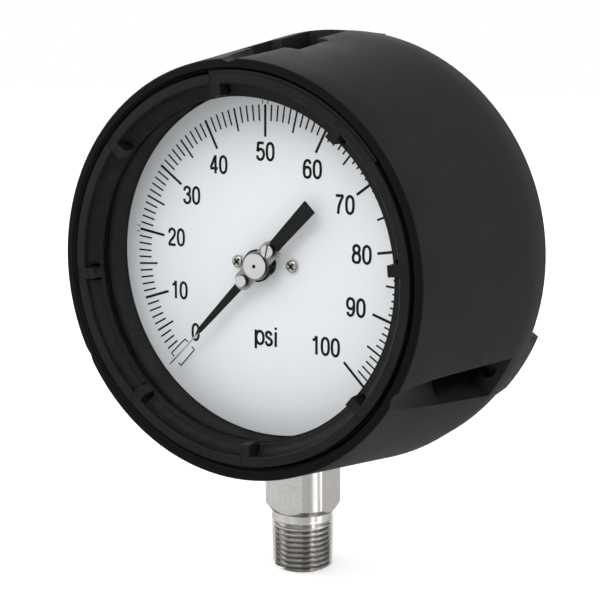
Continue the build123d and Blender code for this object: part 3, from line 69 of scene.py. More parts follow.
class Paint:
    """A material's node tree, with short calls for the nodes that it needs."""

    def __init__(self, name):
        self.material = bpy.data.materials.new(name)
        self.material.use_nodes = True
        self.tree = self.material.node_tree
        self.shader = self.tree.nodes["Principled BSDF"]
        self.coords = None

    def node(self, kind, **settings):
        made = self.tree.nodes.new(kind)
        for key, value in settings.items():
            setattr(made, key, value)
        return made

    def link(self, source, target):
        self.tree.links.new(source, target)

    def set(self, **values):
        for key, value in values.items():
            self.shader.inputs[key.replace("_", " ")].default_value = value

    def position(self, scale=(1, 1, 1)):
        """Object coordinates in metres, stretched by a scale."""
        if self.coords is None:
            self.coords = self.node("ShaderNodeTexCoord")
        mapping = self.node("ShaderNodeMapping")
        mapping.inputs["Scale"].default_value = scale
        self.link(self.coords.outputs["Object"], mapping.inputs["Vector"])
        return mapping.outputs["Vector"]

    def noise(self, scale, detail=3.0, rough=0.5, stretch=(1, 1, 1)):
        """Noise with features of about 1/scale metres."""
        made = self.node("ShaderNodeTexNoise")
        made.inputs["Scale"].default_value = scale
        made.inputs["Detail"].default_value = detail
        made.inputs["Roughness"].default_value = rough
        self.link(self.position(stretch), made.inputs["Vector"])
        return made.outputs["Fac"]

    def spread(self, factor, low, high, start=0.3, end=0.7):
        """A number that goes from low to high as the factor goes from start to end."""
        made = self.node("ShaderNodeMapRange")
        made.inputs["From Min"].default_value = start
        made.inputs["From Max"].default_value = end
        made.inputs["To Min"].default_value = low
        made.inputs["To Max"].default_value = high
        self.link(factor, made.inputs["Value"])
        return made.outputs["Result"]

    def blend(self, factor, first, second):
        """A colour between two, each a tuple or a socket."""
        made = self.node("ShaderNodeMix", data_type="RGBA")
        self.link(factor, made.inputs["Factor"])
        for key, colour in ((6, first), (7, second)):
            if isinstance(colour, tuple):
                made.inputs[key].default_value = (*colour, 1)
            else:
                self.link(colour, made.inputs[key])
        return made.outputs[2]

    def math(self, operation, first, second=None):
        made = self.node("ShaderNodeMath", operation=operation)
        for slot, value in enumerate((first, second)):
            if isinstance(value, (int, float)):
                made.inputs[slot].default_value = value
            elif value is not None:
                self.link(value, made.inputs[slot])
        return made.outputs[0]

    def axes(self):
        """Object coordinates in metres as three numbers."""
        made = self.node("ShaderNodeSeparateXYZ")
        self.link(self.position(), made.inputs[0])
        return made.outputs["X"], made.outputs["Y"], made.outputs["Z"]

    def distance(self, first, second):
        """Length of the long side of a right triangle from its two short sides."""
        squares = [self.math("MULTIPLY", side, side) for side in (first, second)]
        return self.math("SQRT", self.math("ADD", *squares))

    def radius(self, centres):
        """Distance in metres, across the dial, from the nearest of some centres."""
        x, _, z = self.axes()
        nearest = None
        for centre in centres:
            across = self.math("SUBTRACT", x, centre[0])
            upward = self.math("SUBTRACT", z, centre[1])
            made = self.distance(across, upward)
            nearest = made if nearest is None else self.math("MINIMUM", nearest, made)
        return nearest

    def colour(self, socket):
        self.link(socket, self.shader.inputs["Base Color"])

    def rough(self, socket):
        self.link(socket, self.shader.inputs["Roughness"])

    def bump(self, *layers):
        """Bump from (height socket, distance in metres) layers."""
        normal = None
        for height, distance in layers:
            made = self.node("ShaderNodeBump")
            made.inputs["Distance"].default_value = distance
            self.link(height, made.inputs["Height"])
            if normal is not None:
                self.link(normal, made.inputs["Normal"])
            normal = made.outputs["Normal"]
        self.link(normal, self.shader.inputs["Normal"])


# Noise scales: features are about 1/scale metres across
MOTTLE_SCALE = 60
DUST_SCALE = 900
GRAIN_SCALE = 2600
WAVE_SCALE = 180
CLOUD_SCALE = 120
DUST_COVER = (0.55, 0.8)     # noise at which dust starts and is full
DUST_LIGHTER = 0.012
MOTTLE_WEAR = (-0.04, 0.05)  # change of roughness with the mottling


def moulded(name, colour, roughness, grain, gloss, dust=0.25):
    """Moulded black plastic: fine grain, soft mottling and a little dust."""
    paint = Paint(name)
    mottle = paint.noise(MOTTLE_SCALE, 4)
    speck = paint.noise(DUST_SCALE, 2)
    pale = tuple(c * 1.3 + 0.001 for c in colour)
    base = paint.blend(paint.spread(mottle, 0.0, 1.0), colour, pale)
    dusty = tuple(c + DUST_LIGHTER for c in pale)
    paint.tone = paint.blend(paint.spread(speck, 0.0, dust, *DUST_COVER), base, dusty)
    paint.colour(paint.tone)
    paint.wear = paint.spread(mottle, *(roughness + change for change in MOTTLE_WEAR))
    paint.rough(paint.wear)
    paint.bump((paint.noise(GRAIN_SCALE, 2), grain), (paint.noise(WAVE_SCALE, 3), grain * 2))
    paint.set(IOR=1.5, Specular_IOR_Level=gloss)
    return paint


def metal(name, colour, roughness, stretch, depth, vary=0.06, scale=900, shade=0.86):
    """Metal with fine lines along one direction and uneven polish."""
    paint = Paint(name)
    lines = paint.noise(scale, 3, 0.6, stretch)
    cloud = paint.noise(CLOUD_SCALE, 3)
    dark = tuple(c * shade for c in colour)
    paint.tone = paint.blend(paint.spread(lines, 0.0, 1.0), dark, colour)
    paint.colour(paint.tone)
    narrow = paint.spread(lines, -vary / 2, vary / 2)
    wide = paint.spread(cloud, -vary, vary)
    paint.rough(paint.math("ADD", paint.math("ADD", narrow, wide), roughness))
    paint.bump((lines, depth))
    paint.set(Metallic=1.0)
    return paint


# Painted shade on the sides of small pieces behind their front faces, and in holes
SIDE_SHADE_TONE = (0.035, 0.033, 0.03)
SIDE_FADE = (0.05 * MM, 0.3 * MM)    # behind the face, where the painted shade on the sides starts and is full
ROOT_FADE = 0.1 * MM
ROOT_SHADE = 0.35            # share of the painted side shade that is left behind the root
HOLE_FADE = 0.06 * MM
HOLE_SHADE_TONE = (0.0, 0.0, 0.0)


def darker_sides(paint, face, centres=None, hole=0.0, root=None):
    """Paints shade on what lies behind a piece's front face, and on a hole about each of some
    centres.

    Behind the piece's root, where one is given, most of the painted shade is gone.
    """
    depth = paint.axes()[1]
    side = paint.spread(depth, 0.0, 1.0, *(face + fade for fade in SIDE_FADE))
    if root:
        behind = paint.spread(depth, 1.0, ROOT_SHADE, root, root + ROOT_FADE)
        side = paint.math("MINIMUM", side, behind)
    tone = paint.blend(side, paint.tone, SIDE_SHADE_TONE)
    if centres:
        reach = paint.radius(centres)
        inside = paint.spread(reach, 1.0, 0.0, hole - HOLE_FADE, hole + HOLE_FADE)
        tone = paint.blend(inside, tone, HOLE_SHADE_TONE)
    paint.colour(tone)


INK_SCALE = 1500
INK_WEAR = 0.05


def flat_ink(name, colour, roughness):
    """Printing ink with slightly uneven cover."""
    paint = Paint(name)
    cover = paint.noise(INK_SCALE, 2)
    pale = tuple(c * 2 for c in colour)
    paint.colour(paint.blend(paint.spread(cover, 0.0, 1.0), colour, pale))
    paint.rough(paint.spread(cover, roughness - INK_WEAR, roughness + INK_WEAR))
    paint.set(IOR=1.45, Specular_IOR_Level=0.2)
    return paint


CASE_FLARE = 0.16            # how fast the case widens towards its band
CASE_RADIUS = 71.4 * MM      # radius that this taper would reach at zero depth
WELL_FLOOR = 22.0 * MM       # depth of the floor of the screwdriver channels' wells
FLOOR_FADE = (0.2 * MM, 0.6 * MM)    # behind that floor, where the painted shade ends
HOLLOW_FADE = (3.0 * MM, 6.8 * MM)   # below the outside of the case, where the painted shade starts and is full
BORE_FADE = (57.0 * MM, 57.5 * MM)   # radius of the bore inside, which isn't shaded
RIM_FADE = (0.3 * MM, 0.7 * MM)      # behind the rim's face, where its painted shade ends
HOLLOW_SHADE_TONE = (0.001, 0.001, 0.001)


def shade_case(paint):
    """Paints shade on the rim's face and on what lies deep in the hollows round the case."""
    depth = paint.axes()[1]
    radius = paint.radius([(AXIS.x, AXIS.z)])
    outside = paint.math("ADD", paint.math("MULTIPLY", depth, CASE_FLARE), CASE_RADIUS)
    below = paint.math("SUBTRACT", outside, radius)
    hollow_shade = paint.spread(below, 0.0, 1.0, *HOLLOW_FADE)
    for limited in (
        paint.spread(depth, 1.0, 0.0, *(WELL_FLOOR + fade for fade in FLOOR_FADE)),
        paint.spread(radius, 0.0, 1.0, *BORE_FADE),
    ):
        hollow_shade = paint.math("MULTIPLY", hollow_shade, limited)
    face = paint.spread(depth, 1.0, 0.0, *(RIM_FACE + fade for fade in RIM_FADE))
    paint.colour(paint.blend(paint.math("MAXIMUM", hollow_shade, face), paint.tone, HOLLOW_SHADE_TONE))
    paint.rough(paint.math("MAXIMUM", paint.wear, hollow_shade))
    return paint


PIT_START = -38.9 * MM       # depth where the painted shade in the pits beside the lugs starts
PIT_FADE = 0.5 * MM
PIT_SHADE_TONE = (0.0005, 0.0005, 0.0005)
# Scuffs: lighter marks in the trough that are partly wear and partly painted highlights
SCUFF_SCALE = 420
SCUFF_COVER = (0.52, 0.72)   # noise at which scuffs start and are full
SCUFF_DEPTH = (1.0 * MM, 3.0 * MM)   # behind the rim's face, where they start and are full
SCUFF_SHARE = 0.5
SCUFF_AND_HIGHLIGHT_TONE = (0.022, 0.022, 0.023)


def shade_ring(paint):
    """Paints shade in the pits beside the ring's lugs, and paints lighter scuffs on the floor of
    its trough, which are also painted highlights.
    """
    depth = paint.axes()[1]
    pit_shade = paint.spread(depth, 0.0, 1.0, PIT_START, PIT_START + PIT_FADE)
    marks = paint.spread(paint.noise(SCUFF_SCALE, 5, 0.7), 0.0, 1.0, *SCUFF_COVER)
    trough = paint.spread(depth, 0.0, SCUFF_SHARE, *(RIM_FACE + fade for fade in SCUFF_DEPTH))
    scuffs_and_highlights = paint.blend(paint.math("MULTIPLY", marks, trough), paint.tone, SCUFF_AND_HIGHLIGHT_TONE)
    paint.colour(paint.blend(pit_shade, scuffs_and_highlights, PIT_SHADE_TONE))
    paint.rough(paint.math("MAXIMUM", paint.wear, pit_shade))
    return paint


case_plastic = shade_case(
    moulded("case_plastic", (0.013, 0.013, 0.013), 0.6, 0.00002, gloss=0.12))
ring_plastic = shade_ring(
    moulded("ring_plastic", (0.0065, 0.0065, 0.0065), 0.5, 0.000008, gloss=0.13, dust=0.12))
cover_plastic = moulded("cover_plastic", (0.016, 0.016, 0.017), 0.55, 0.000015, gloss=0.15)
rubber = moulded("gasket_rubber", (0.012, 0.012, 0.012), 0.8, 0.00003, gloss=0.15)
milled_steel = metal(
    "milled_steel", (0.93, 0.91, 0.88), 0.36, (1, 1, 1), 0.00001, scale=2300, shade=0.72)
turned_steel = metal("turned_steel", (0.87, 0.85, 0.82), 0.15, (1, 1, 14), 0.000002, 0.04)
screw_steel = metal("screw_steel", (0.55, 0.55, 0.54), 0.35, (1, 1, 1), 0.000003)
dial_screw_steel = metal(
    "dial_screw_steel", (0.66, 0.63, 0.57), 0.16, (1, 1, 1), 0.000001, 0.04, scale=2000)
tube_steel = metal("tube_steel", (0.58, 0.56, 0.53), 0.32, (1, 6, 1), 0.000004)
movement_steel = metal("movement_steel", (0.6, 0.59, 0.57), 0.34, (8, 1, 1), 0.000003)
spring_steel = metal("spring_steel", (0.32, 0.36, 0.5), 0.25, (1, 1, 1), 0.000002)
plate_silver = metal("plate_silver", (0.46, 0.42, 0.37), 0.36, (1, 1, 1), 0.000003, scale=3000)
knife_silver = metal("knife_silver", (0.62, 0.60, 0.56), 0.3, (1, 1, 1), 0.000002, scale=3000)
disc_silver = metal("disc_silver", (0.95, 0.95, 0.94), 0.34, (1, 1, 1), 0.000002, scale=3000)
pin_silver = metal("pin_silver", (0.95, 0.95, 0.94), 0.32, (1, 1, 1), 0.000002, scale=3000)
screw_silver = metal("screw_silver", (0.95, 0.95, 0.94), 0.28, (1, 1, 1), 0.000002, scale=3000)
HUB_DISC_CHAMFER = 0.2 * MM  # of the hub's disc and its adjusting screw
PIN_CHAMFER = 0.25 * MM
HUB_HOLE = 0.6 * MM          # radius
DIAL_SCREW_OFFSET = 10.1 * MM
DIAL_SCREW_RECESS = 1.25 * MM    # radius
DIAL_SCREW_CROWN = 0.35 * MM     # from the crown of a screw's head to where the painted shade in its recess starts
RECESS_FADE = 0.1 * MM
RECESS_SHADE_TONE = (0.01, 0.01, 0.01)


def dark_recess(paint, face, centres, reach):
    """Paints shade on what lies behind a piece's front face within reach of some centres."""
    inside = paint.spread(
        paint.radius(centres), 1.0, 0.0, reach - RECESS_FADE, reach + RECESS_FADE)
    deep = paint.spread(paint.axes()[1], 0.0, 1.0, face, face + RECESS_FADE)
    paint.colour(paint.blend(paint.math("MULTIPLY", inside, deep), paint.tone, RECESS_SHADE_TONE))


# Painted shade in the recesses of the dial screws' heads
dark_recess(
    dial_screw_steel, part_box("dial_screws")[0].y + DIAL_SCREW_CROWN,
    [(AXIS.x + side * DIAL_SCREW_OFFSET, AXIS.z) for side in (-1, 1)], DIAL_SCREW_RECESS,
)
# Painted shade on the sides of the hub's disc, pin and adjusting screw, and in the disc's hole
darker_sides(
    disc_silver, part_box("hub_disc")[0].y + HUB_DISC_CHAMFER, [(AXIS.x, AXIS.z)], HUB_HOLE)
darker_sides(pin_silver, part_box("hub_pin")[0].y + PIN_CHAMFER)
darker_sides(
    screw_silver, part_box("trim_screw")[0].y + HUB_DISC_CHAMFER, root=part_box("hub_plate")[1].y)
bushing_black = moulded(
    "bushing_black", (0.003, 0.003, 0.003), 0.5, 0.000006, gloss=0.1, dust=0.1)
pointer_black = flat_ink("pointer_black", (0.002, 0.002, 0.002), 0.55)
print_black = flat_ink("print_black", (0.001, 0.001, 0.001), 0.65)


ENAMEL_TONES = ((0.735, 0.743, 0.752), (0.752, 0.759, 0.768))
ENAMEL_ROUGHNESS = (0.42, 0.5)


def dial_enamel():
    """White paint with a faint cloudiness and a fine grain."""
    paint = Paint("dial_enamel")
    cloud = paint.noise(14, 3)
    paint.colour(paint.blend(paint.spread(cloud, 0, 1), *ENAMEL_TONES))
    paint.rough(paint.spread(paint.noise(700, 3), *ENAMEL_ROUGHNESS))
    paint.bump((paint.noise(2500, 2), 0.000003))
    return paint


GLASS_GLEAM = 0.0045         # share mirrored head on: low, as on a pane coated against reflections
GRAZING_GLEAM = 0.5
GLASS_TINT = (0.985, 0.992, 0.995, 1)
GLASS_ROUGHNESS = 0.03


def clear_glass():
    """A clear pane that doesn't bend light and lets lamps through."""
    paint = Paint("window_glass")
    tree = paint.tree
    clear = paint.node("ShaderNodeBsdfTransparent")
    clear.inputs["Color"].default_value = GLASS_TINT
    mirror = paint.node("ShaderNodeBsdfGlossy")
    mirror.inputs["Roughness"].default_value = GLASS_ROUGHNESS
    mirror.inputs["Color"].default_value = (1, 1, 1, 1)
    slant = paint.node("ShaderNodeLayerWeight")
    slant.inputs["Blend"].default_value = 0.5
    steep = paint.math("POWER", slant.outputs["Facing"], 5.0)
    grazing = paint.math("MULTIPLY", steep, GRAZING_GLEAM)
    mix = paint.node("ShaderNodeMixShader")
    paint.link(paint.math("ADD", grazing, GLASS_GLEAM), mix.inputs[0])
    paint.link(clear.outputs[0], mix.inputs[1])
    paint.link(mirror.outputs[0], mix.inputs[2])
    output = tree.nodes["Material Output"]
    tree.nodes.remove(paint.shader)
    paint.link(mix.outputs[0], output.inputs["Surface"])
    return paint


FINISHES = {
    case_plastic: ["case_body"],
    ring_plastic: ["front_ring"],
    cover_plastic: ["blowout_back"],
    rubber: ["window_gasket", "socket_gasket", "back_gasket"],
    clear_glass(): ["window_glass"],
    dial_enamel(): ["dial_plate"],
    dial_screw_steel: ["dial_screws"],
    milled_steel: ["socket_stem"],
    screw_steel: ["socket_screws", "plate_screws", "link_screw"],
    tube_steel: ["bourdon_tube_fixed", "bourdon_tube_free", "tube_tip"],
    movement_steel: [
        "back_plate", "front_plate", "plate_pillars", "sector_gear", "sector_arbor",
        "pinion_arbor", "hairspring_collet", "hairspring_stud", "link_bar",
    ],
    spring_steel: ["hairspring"],
    bushing_black: ["pointer_bushing"],
    pointer_black: ["pointer_blade"],
    knife_silver: ["pointer_knife"],
    disc_silver: ["hub_disc"],
    plate_silver: ["hub_plate"],
    pin_silver: ["hub_pin"],
    screw_silver: ["trim_screw"],
}

for paint, names in FINISHES.items():
    for name in names:
        for slot in nodes[name].material_slots:
            slot.material = paint.material


WELD_DISTANCE = 1e-6
SOFT_ANGLE = 35              # degrees between faces, above which an edge is rounded


def soften(name):
    """Rounds a moulded piece's sharp edges."""
    weld = nodes[name].modifiers.new("weld", "WELD")
    weld.merge_threshold = WELD_DISTANCE
    bevel = nodes[name].modifiers.new("bevel", "BEVEL")
    bevel.width = EDGE_ROUNDING
    bevel.segments = 2
    bevel.limit_method = "ANGLE"
    bevel.angle_limit = math.radians(SOFT_ANGLE)
    bevel.use_clamp_overlap = True
    bevel.harden_normals = True


soften("front_ring")
soften("case_body")


# ---- Mesh helpers ----------------------------------------------------------------------------

def piece(name, mesh, paint):
    """A new piece of the object, fixed to the gauge's body."""
    made = bpy.data.objects.new(name, mesh)
    bpy.context.scene.collection.objects.link(made)
    mesh.materials.append(paint.material)
    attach(made, "gauge_body")
    return made


def prism(mesh, outline, front, back):
    """Adds a flat outline, in millimetres across the dial, as a thin solid between two depths."""
    near = [mesh.verts.new(place(x, y, front)) for x, y in outline]
    far = [mesh.verts.new(place(x, y, back)) for x, y in outline]
    mesh.faces.new(near)
    mesh.faces.new(list(reversed(far)))
    count = len(outline)
    for k in range(count):
        mesh.faces.new([near[(k + 1) % count], near[k], far[k], far[(k + 1) % count]])


def smooth_line(points, closed, steps=6):
    """A Catmull-Rom line through points."""
    count = len(points)
    last = count if closed else count - 1
    line = []
    for k in range(last):
        if closed:
            a, b, c, d = (points[(k + j - 1) % count] for j in range(4))
        else:
            a, b, c, d = (points[min(max(k + j - 1, 0), count - 1)] for j in range(4))
        for step in range(steps):
            t = step / steps
            line.append(tuple(
                0.5 * (2 * q + (r - p) * t + (2 * p - 5 * q + 4 * r - s) * t * t
                       + (3 * q - p - 3 * r + s) * t ** 3)
                for p, q, r, s in zip(a, b, c, d)
            ))
    if not closed:
        line.append(points[-1])
    return line


def stroke(mesh, line, width, closed, front, back):
    """Adds a pen stroke of even width along a line as a thin solid."""
    count = len(line)
    left, right = [], []
    for k in range(count):
        before = line[(k - 1) % count] if closed or k > 0 else line[k]
        after = line[(k + 1) % count] if closed or k < count - 1 else line[k]
        dx, dy = after[0] - before[0], after[1] - before[1]
        size = math.hypot(dx, dy)
        nx, ny = -dy / size * width / 2, dx / size * width / 2
        left.append((line[k][0] + nx, line[k][1] + ny))
        right.append((line[k][0] - nx, line[k][1] - ny))
    rows = [
        [[mesh.verts.new(place(x, y, depth)) for x, y in side] for side in (left, right)]
        for depth in (front, back)
    ]
    (left_near, right_near), (left_far, right_far) = rows
    for k in range(count if closed else count - 1):
        n = (k + 1) % count
        mesh.faces.new([left_near[k], right_near[k], right_near[n], left_near[n]])
        mesh.faces.new([left_far[n], right_far[n], right_far[k], left_far[k]])
        mesh.faces.new([left_near[n], left_far[n], left_far[k], left_near[k]])
        mesh.faces.new([right_near[k], right_far[k], right_far[n], right_near[n]])
    if not closed:
        for k, flip in ((0, False), (count - 1, True)):
            cap = [left_near[k], left_far[k], right_far[k], right_near[k]]
            mesh.faces.new(list(reversed(cap)) if flip else cap)


def finish_mesh(mesh, name):
    """Mesh data from a working mesh, which is freed."""
    bmesh.ops.recalc_face_normals(mesh, faces=mesh.faces)
    data = bpy.data.meshes.new(name)
    mesh.to_mesh(data)
    mesh.free()
    return data


# ---- Dial print ------------------------------------------------------------------------------

# Millimetres across the dial and degrees, except for the ink's three depths, in metres
INK_FRONT = DIAL_FACE - 0.03 * MM
INK_BACK = DIAL_FACE + 0.01 * MM
STROKE_STEP = 1e-6           # strokes that meet differ in depth by this much
TICK_OUTER = 50.2            # radius
FIRST_TICK = 2               # the box stands for zero and one
LAST_TICK = 100
TICK_MAJOR = (40.1, 0.86)    # inner radius and width
TICK_MIDDLE = (42.7, 0.66)
TICK_MINOR = (45.1, 0.56)
ZERO_ANGLE = 225.0
DIVISION = 2.7
PAIR_VALUES = (20, 50, 80)   # a pair of fine lines stands outside these marks
PAIR_ANGLE = 1.1             # of each line from its mark
PAIR_REACH = (TICK_OUTER + 0.2, TICK_OUTER + 1.4)
PAIR_WIDTH = 0.3


def tick(mesh, angle, inner, outer, width):
    """Adds one mark of the scale."""
    half = width / 2
    turn = math.radians(angle)
    along = (math.cos(turn), math.sin(turn))
    outline = []
    for radius, side in ((inner, -half), (outer, -half), (outer, half), (inner, half)):
        outline.append((along[0] * radius - along[1] * side, along[1] * radius + along[0] * side))
    prism(mesh, outline, INK_FRONT, INK_BACK)


def scale_ticks():
    """All marks of the scale."""
    mesh = bmesh.new()
    for value in range(FIRST_TICK, LAST_TICK + 1):
        angle = ZERO_ANGLE - DIVISION * value
        kind = TICK_MAJOR if value % 10 == 0 else TICK_MIDDLE if value % 5 == 0 else TICK_MINOR
        inner, width = kind
        tick(mesh, angle, inner, TICK_OUTER, width)
    for value in PAIR_VALUES:
        for side in (-1, 1):
            angle = ZERO_ANGLE - DIVISION * value + side * PAIR_ANGLE
            tick(mesh, angle, *PAIR_REACH, PAIR_WIDTH)
    return finish_mesh(mesh, "scale_ticks")


piece("dial_ticks", scale_ticks(), print_black)

TOP = 2.64                   # half height of a digit, to the middle of its strokes
EDGE = 2.95                  # half height to the outside of its strokes
SIX_BOWL = [
    (0, 0.55), (0.85, 0.15), (1.17, -1.0), (0.85, -2.25),
    (0, -TOP), (-0.85, -2.25), (-1.17, -1.0), (-0.85, 0.15),
]
SIX_BACK = [(1.05, 1.55), (0.75, 2.35), (0.1, TOP), (-0.7, 2.2), (-1.12, 0.9), (-1.17, -1.0)]


def turned_about(points):
    """The same points after half a turn."""
    return [(-x, -y) for x, y in points]


# Each digit's strokes: (kind, points), where kind is loop, curve or line
DIGITS = {
    "0": [
        ("loop", [(0, TOP), (0.85, 2.1), (1.17, 0.9), (1.17, -0.9), (0.85, -2.1),
                  (0, -TOP), (-0.85, -2.1), (-1.17, -0.9), (-1.17, 0.9), (-0.85, 2.1)]),
    ],
    "1": [
        ("line", [(0.4, -EDGE), (0.4, EDGE)]),
        ("curve", [(-1.0, 1.6), (-0.3, 1.75), (0.1, 2.2), (0.25, EDGE)]),
    ],
    "2": [
        ("curve", [(-1.15, 1.2), (-0.95, 2.15), (0, TOP), (0.95, 2.1), (1.12, 1.15),
                   (0.6, 0.0), (-0.4, -1.1), (-1.05, -2.0), (-1.2, -TOP)]),
        ("line", [(-1.45, -TOP), (1.4, -TOP)]),
    ],
    "3": [
        ("curve", [(-1.15, 1.35), (-0.85, 2.3), (0, TOP), (0.9, 2.2), (1.05, 1.35), (0.7, 0.6),
                   (-0.3, 0.3)]),
        ("curve", [(-0.3, 0.3), (0.75, 0.0), (1.2, -1.0), (1.0, -2.1), (0, -TOP), (-0.95, -2.25),
                   (-1.25, -1.25)]),
    ],
    "4": [
        ("line", [(0.55, -EDGE), (0.55, EDGE)]),
        ("line", [(0.5, 2.75), (-1.3, -1.1)]),
        ("line", [(-1.5, -1.3), (1.45, -1.3)]),
    ],
    "5": [
        ("line", [(-0.95, TOP), (1.2, TOP)]),
        ("line", [(-0.82, 2.9), (-1.12, -0.1)]),
        ("curve", [(-1.12, -0.05), (-0.4, 0.62), (0.45, 0.6), (1.15, -0.2), (1.15, -1.5),
                   (0.5, -2.42), (-0.35, -2.62), (-1.05, -2.1), (-1.25, -1.3)]),
    ],
    "6": [("loop", SIX_BOWL), ("curve", SIX_BACK)],
    "7": [
        ("line", [(-1.35, TOP), (1.35, TOP)]),
        ("curve", [(1.2, TOP), (0.35, 1.0), (-0.3, -0.9), (-0.5, -EDGE)]),
    ],
    "8": [
        ("loop", [(0, TOP), (0.82, 2.2), (1.0, 1.45), (0.75, 0.65),
                  (0, 0.3), (-0.75, 0.65), (-1.0, 1.45), (-0.82, 2.2)]),
        ("loop", [(0, 0.3), (0.88, -0.15), (1.2, -1.2), (0.9, -2.3),
                  (0, -TOP), (-0.9, -2.3), (-1.2, -1.2), (-0.88, -0.15)]),
    ],
    "9": [("loop", turned_about(SIX_BOWL)), ("curve", turned_about(SIX_BACK))],
}
DIGIT_STROKE = 0.90
DIGIT_PITCH = 3.55
NUMERAL_CENTRES = {
    0: (-27.3, -25.1), 10: (-33.8, -11.6), 20: (-34.7, 6.0), 30: (-28.4, 20.2),
    40: (-17.7, 30.7), 50: (0, 35.5), 60: (17.0, 30.7), 70: (28.4, 20.4),
    80: (34.3, 5.6), 90: (32.4, -10.9), 100: (21.8, -24.2),
}
# The unit's letters: p, s and i, with the baseline at zero height
UNIT_PLACE = (0, -26.2)
UNIT_STROKE = 0.94
UNIT = [
    ("line", [(-3.75, -1.6), (-3.75, 4.55)]),
    ("loop", [(-2.2, 4.2), (-1.15, 3.6), (-0.85, 2.1), (-1.15, 0.65),
              (-2.2, 0.05), (-3.2, 0.6), (-3.62, 2.1), (-3.2, 3.6)]),
    ("curve", [(2.15, 3.2), (1.8, 3.95), (1.1, 4.25), (0.35, 3.9), (0.2, 3.15), (0.7, 2.5),
               (1.6, 2.05), (2.25, 1.35), (2.05, 0.5), (1.2, 0.02), (0.4, 0.25), (0.02, 1.15)]),
    ("line", [(3.75, -0.3), (3.75, 4.55)]),
    ("line", [(3.75, 5.2), (3.75, 6.0)]),
]


def glyph(mesh, strokes, centre, width):
    """Adds one character."""
    for layer, (kind, points) in enumerate(strokes):
        line = [(centre[0] + x, centre[1] + y) for x, y in points]
        if kind != "line":
            line = smooth_line(line, kind == "loop")
        raised = layer * STROKE_STEP
        stroke(mesh, line, width, kind == "loop", INK_FRONT - raised, INK_BACK + raised)


def numerals():
    """The scale's numbers and its unit."""
    mesh = bmesh.new()
    for value, centre in NUMERAL_CENTRES.items():
        text = str(value)
        for k, digit in enumerate(text):
            across = (k - (len(text) - 1) / 2) * DIGIT_PITCH
            glyph(mesh, DIGITS[digit], (centre[0] + across, centre[1]), DIGIT_STROKE)
    glyph(mesh, UNIT, UNIT_PLACE, UNIT_STROKE)
    return finish_mesh(mesh, "numerals")


piece("dial_numerals", numerals(), print_black)

ZERO_BOX = {
    "outer": ((-31.6, -27.9), (-37.25, -33.3)),
    "inner": ((-27.9, -31.1), (-33.4, -37.2)),
}
ZERO_LINE = 0.44             # width
ZERO_STUB = 1.4              # how far its ends run in from the corners


def zero_box():
    """The open box at the foot of the scale that the pointer rests in without pressure."""
    mesh = bmesh.new()
    for start, end in ZERO_BOX.values():
        stroke(mesh, [start, end], ZERO_LINE, False, INK_FRONT, INK_BACK)
    for k in (0, 1):
        corner, other = Vector(ZERO_BOX["outer"][k]), Vector(ZERO_BOX["inner"][k])
        along = (other - corner).normalized() * ZERO_STUB
        for point, way in ((corner, along), (other, -along)):
            line = [tuple(point), tuple(point + way)]
            stroke(mesh, line, ZERO_LINE, False, INK_FRONT - STROKE_STEP, INK_BACK)
    return finish_mesh(mesh, "zero_box")


piece("dial_zero_box", zero_box(), print_black)


# ---- Stem ------------------------------------------------------------------------------------

# Millimetres, with heights from the open end of the thread
BAR_RADIUS = 12.7
HALF_FLATS = 11.1
BAR_BOTTOM = 19.7
BAR_CHAMFER = 1.8
BAR_CHAMFER_HEIGHT = 2.2
BORE_RADIUS = 3.0
THREAD_LENGTH = 17.1
THREAD_PITCH = 25.4 / 14
THREAD_CREST = 10.67         # crest radius at the underside of the bar
THREAD_TAPER = 1 / 32
THREAD_DEPTH = 1.3
THREAD_FLAT = 0.4
THREAD_LEAD = 0.8
THREAD_RUN_OUT = 2.0
NECK_DROP = 0.15
NECK_SLOPE = 0.5
STEM_JOIN = 40.0             # the head above this height keeps its shape
STEM_STEP = 2                # degrees between columns
FLANK_ROWS = 3
CHAMFER_ROWS = 10
MERGE_DISTANCE = 1e-7        # metres
DEGENERATE = 1e-8
FLAT_MARGIN = 0.01           # a face this near to a wrench flat lies on it
SHARP_ANGLE = 25
MILLED, TURNED, THREADED = range(3)  # material slots


def limit(value, low, high):
    """The value, kept between low and high."""
    return max(low, min(high, value))


def crest(z):
    """Radius of the thread's crest at a height."""
    return THREAD_CREST - THREAD_TAPER * (BAR_BOTTOM - z)


def thread_surface(turn, z):
    """Radius of a right-hand thread at an angle in turns and a height."""
    phase = (z - THREAD_PITCH * turn) % THREAD_PITCH
    off_crest = abs(phase - THREAD_PITCH / 2)
    rise = (THREAD_PITCH / 2 - THREAD_FLAT / 2 - off_crest) / (THREAD_PITCH / 2 - THREAD_FLAT)
    depth = THREAD_DEPTH * limit((THREAD_LENGTH - z) / THREAD_RUN_OUT, 0, 1)
    return min(crest(z) - depth * (1 - limit(rise, 0, 1)), crest(0) - THREAD_LEAD + z)


def bar_surface(turn, z):
    """Radius of the bar with its four flats and the chamfer at its lower end."""
    angle = 2 * math.pi * turn
    flat = HALF_FLATS / max(abs(math.cos(angle)), abs(math.sin(angle)))
    chamfer = BAR_RADIUS - BAR_CHAMFER * (1 - limit((z - BAR_BOTTOM) / BAR_CHAMFER_HEIGHT, 0, 1))
    return min(flat, chamfer)


def stem_columns():
    """Angles in turns, with one at each edge of the flats."""
    edge = math.degrees(math.acos(HALF_FLATS / BAR_RADIUS))
    angles = set(range(0, 361, STEM_STEP))
    for quarter in range(4):
        angles.update((90 * quarter + edge, 90 * quarter + 90 - edge))
    return [angle / 360 for angle in sorted(angles)]


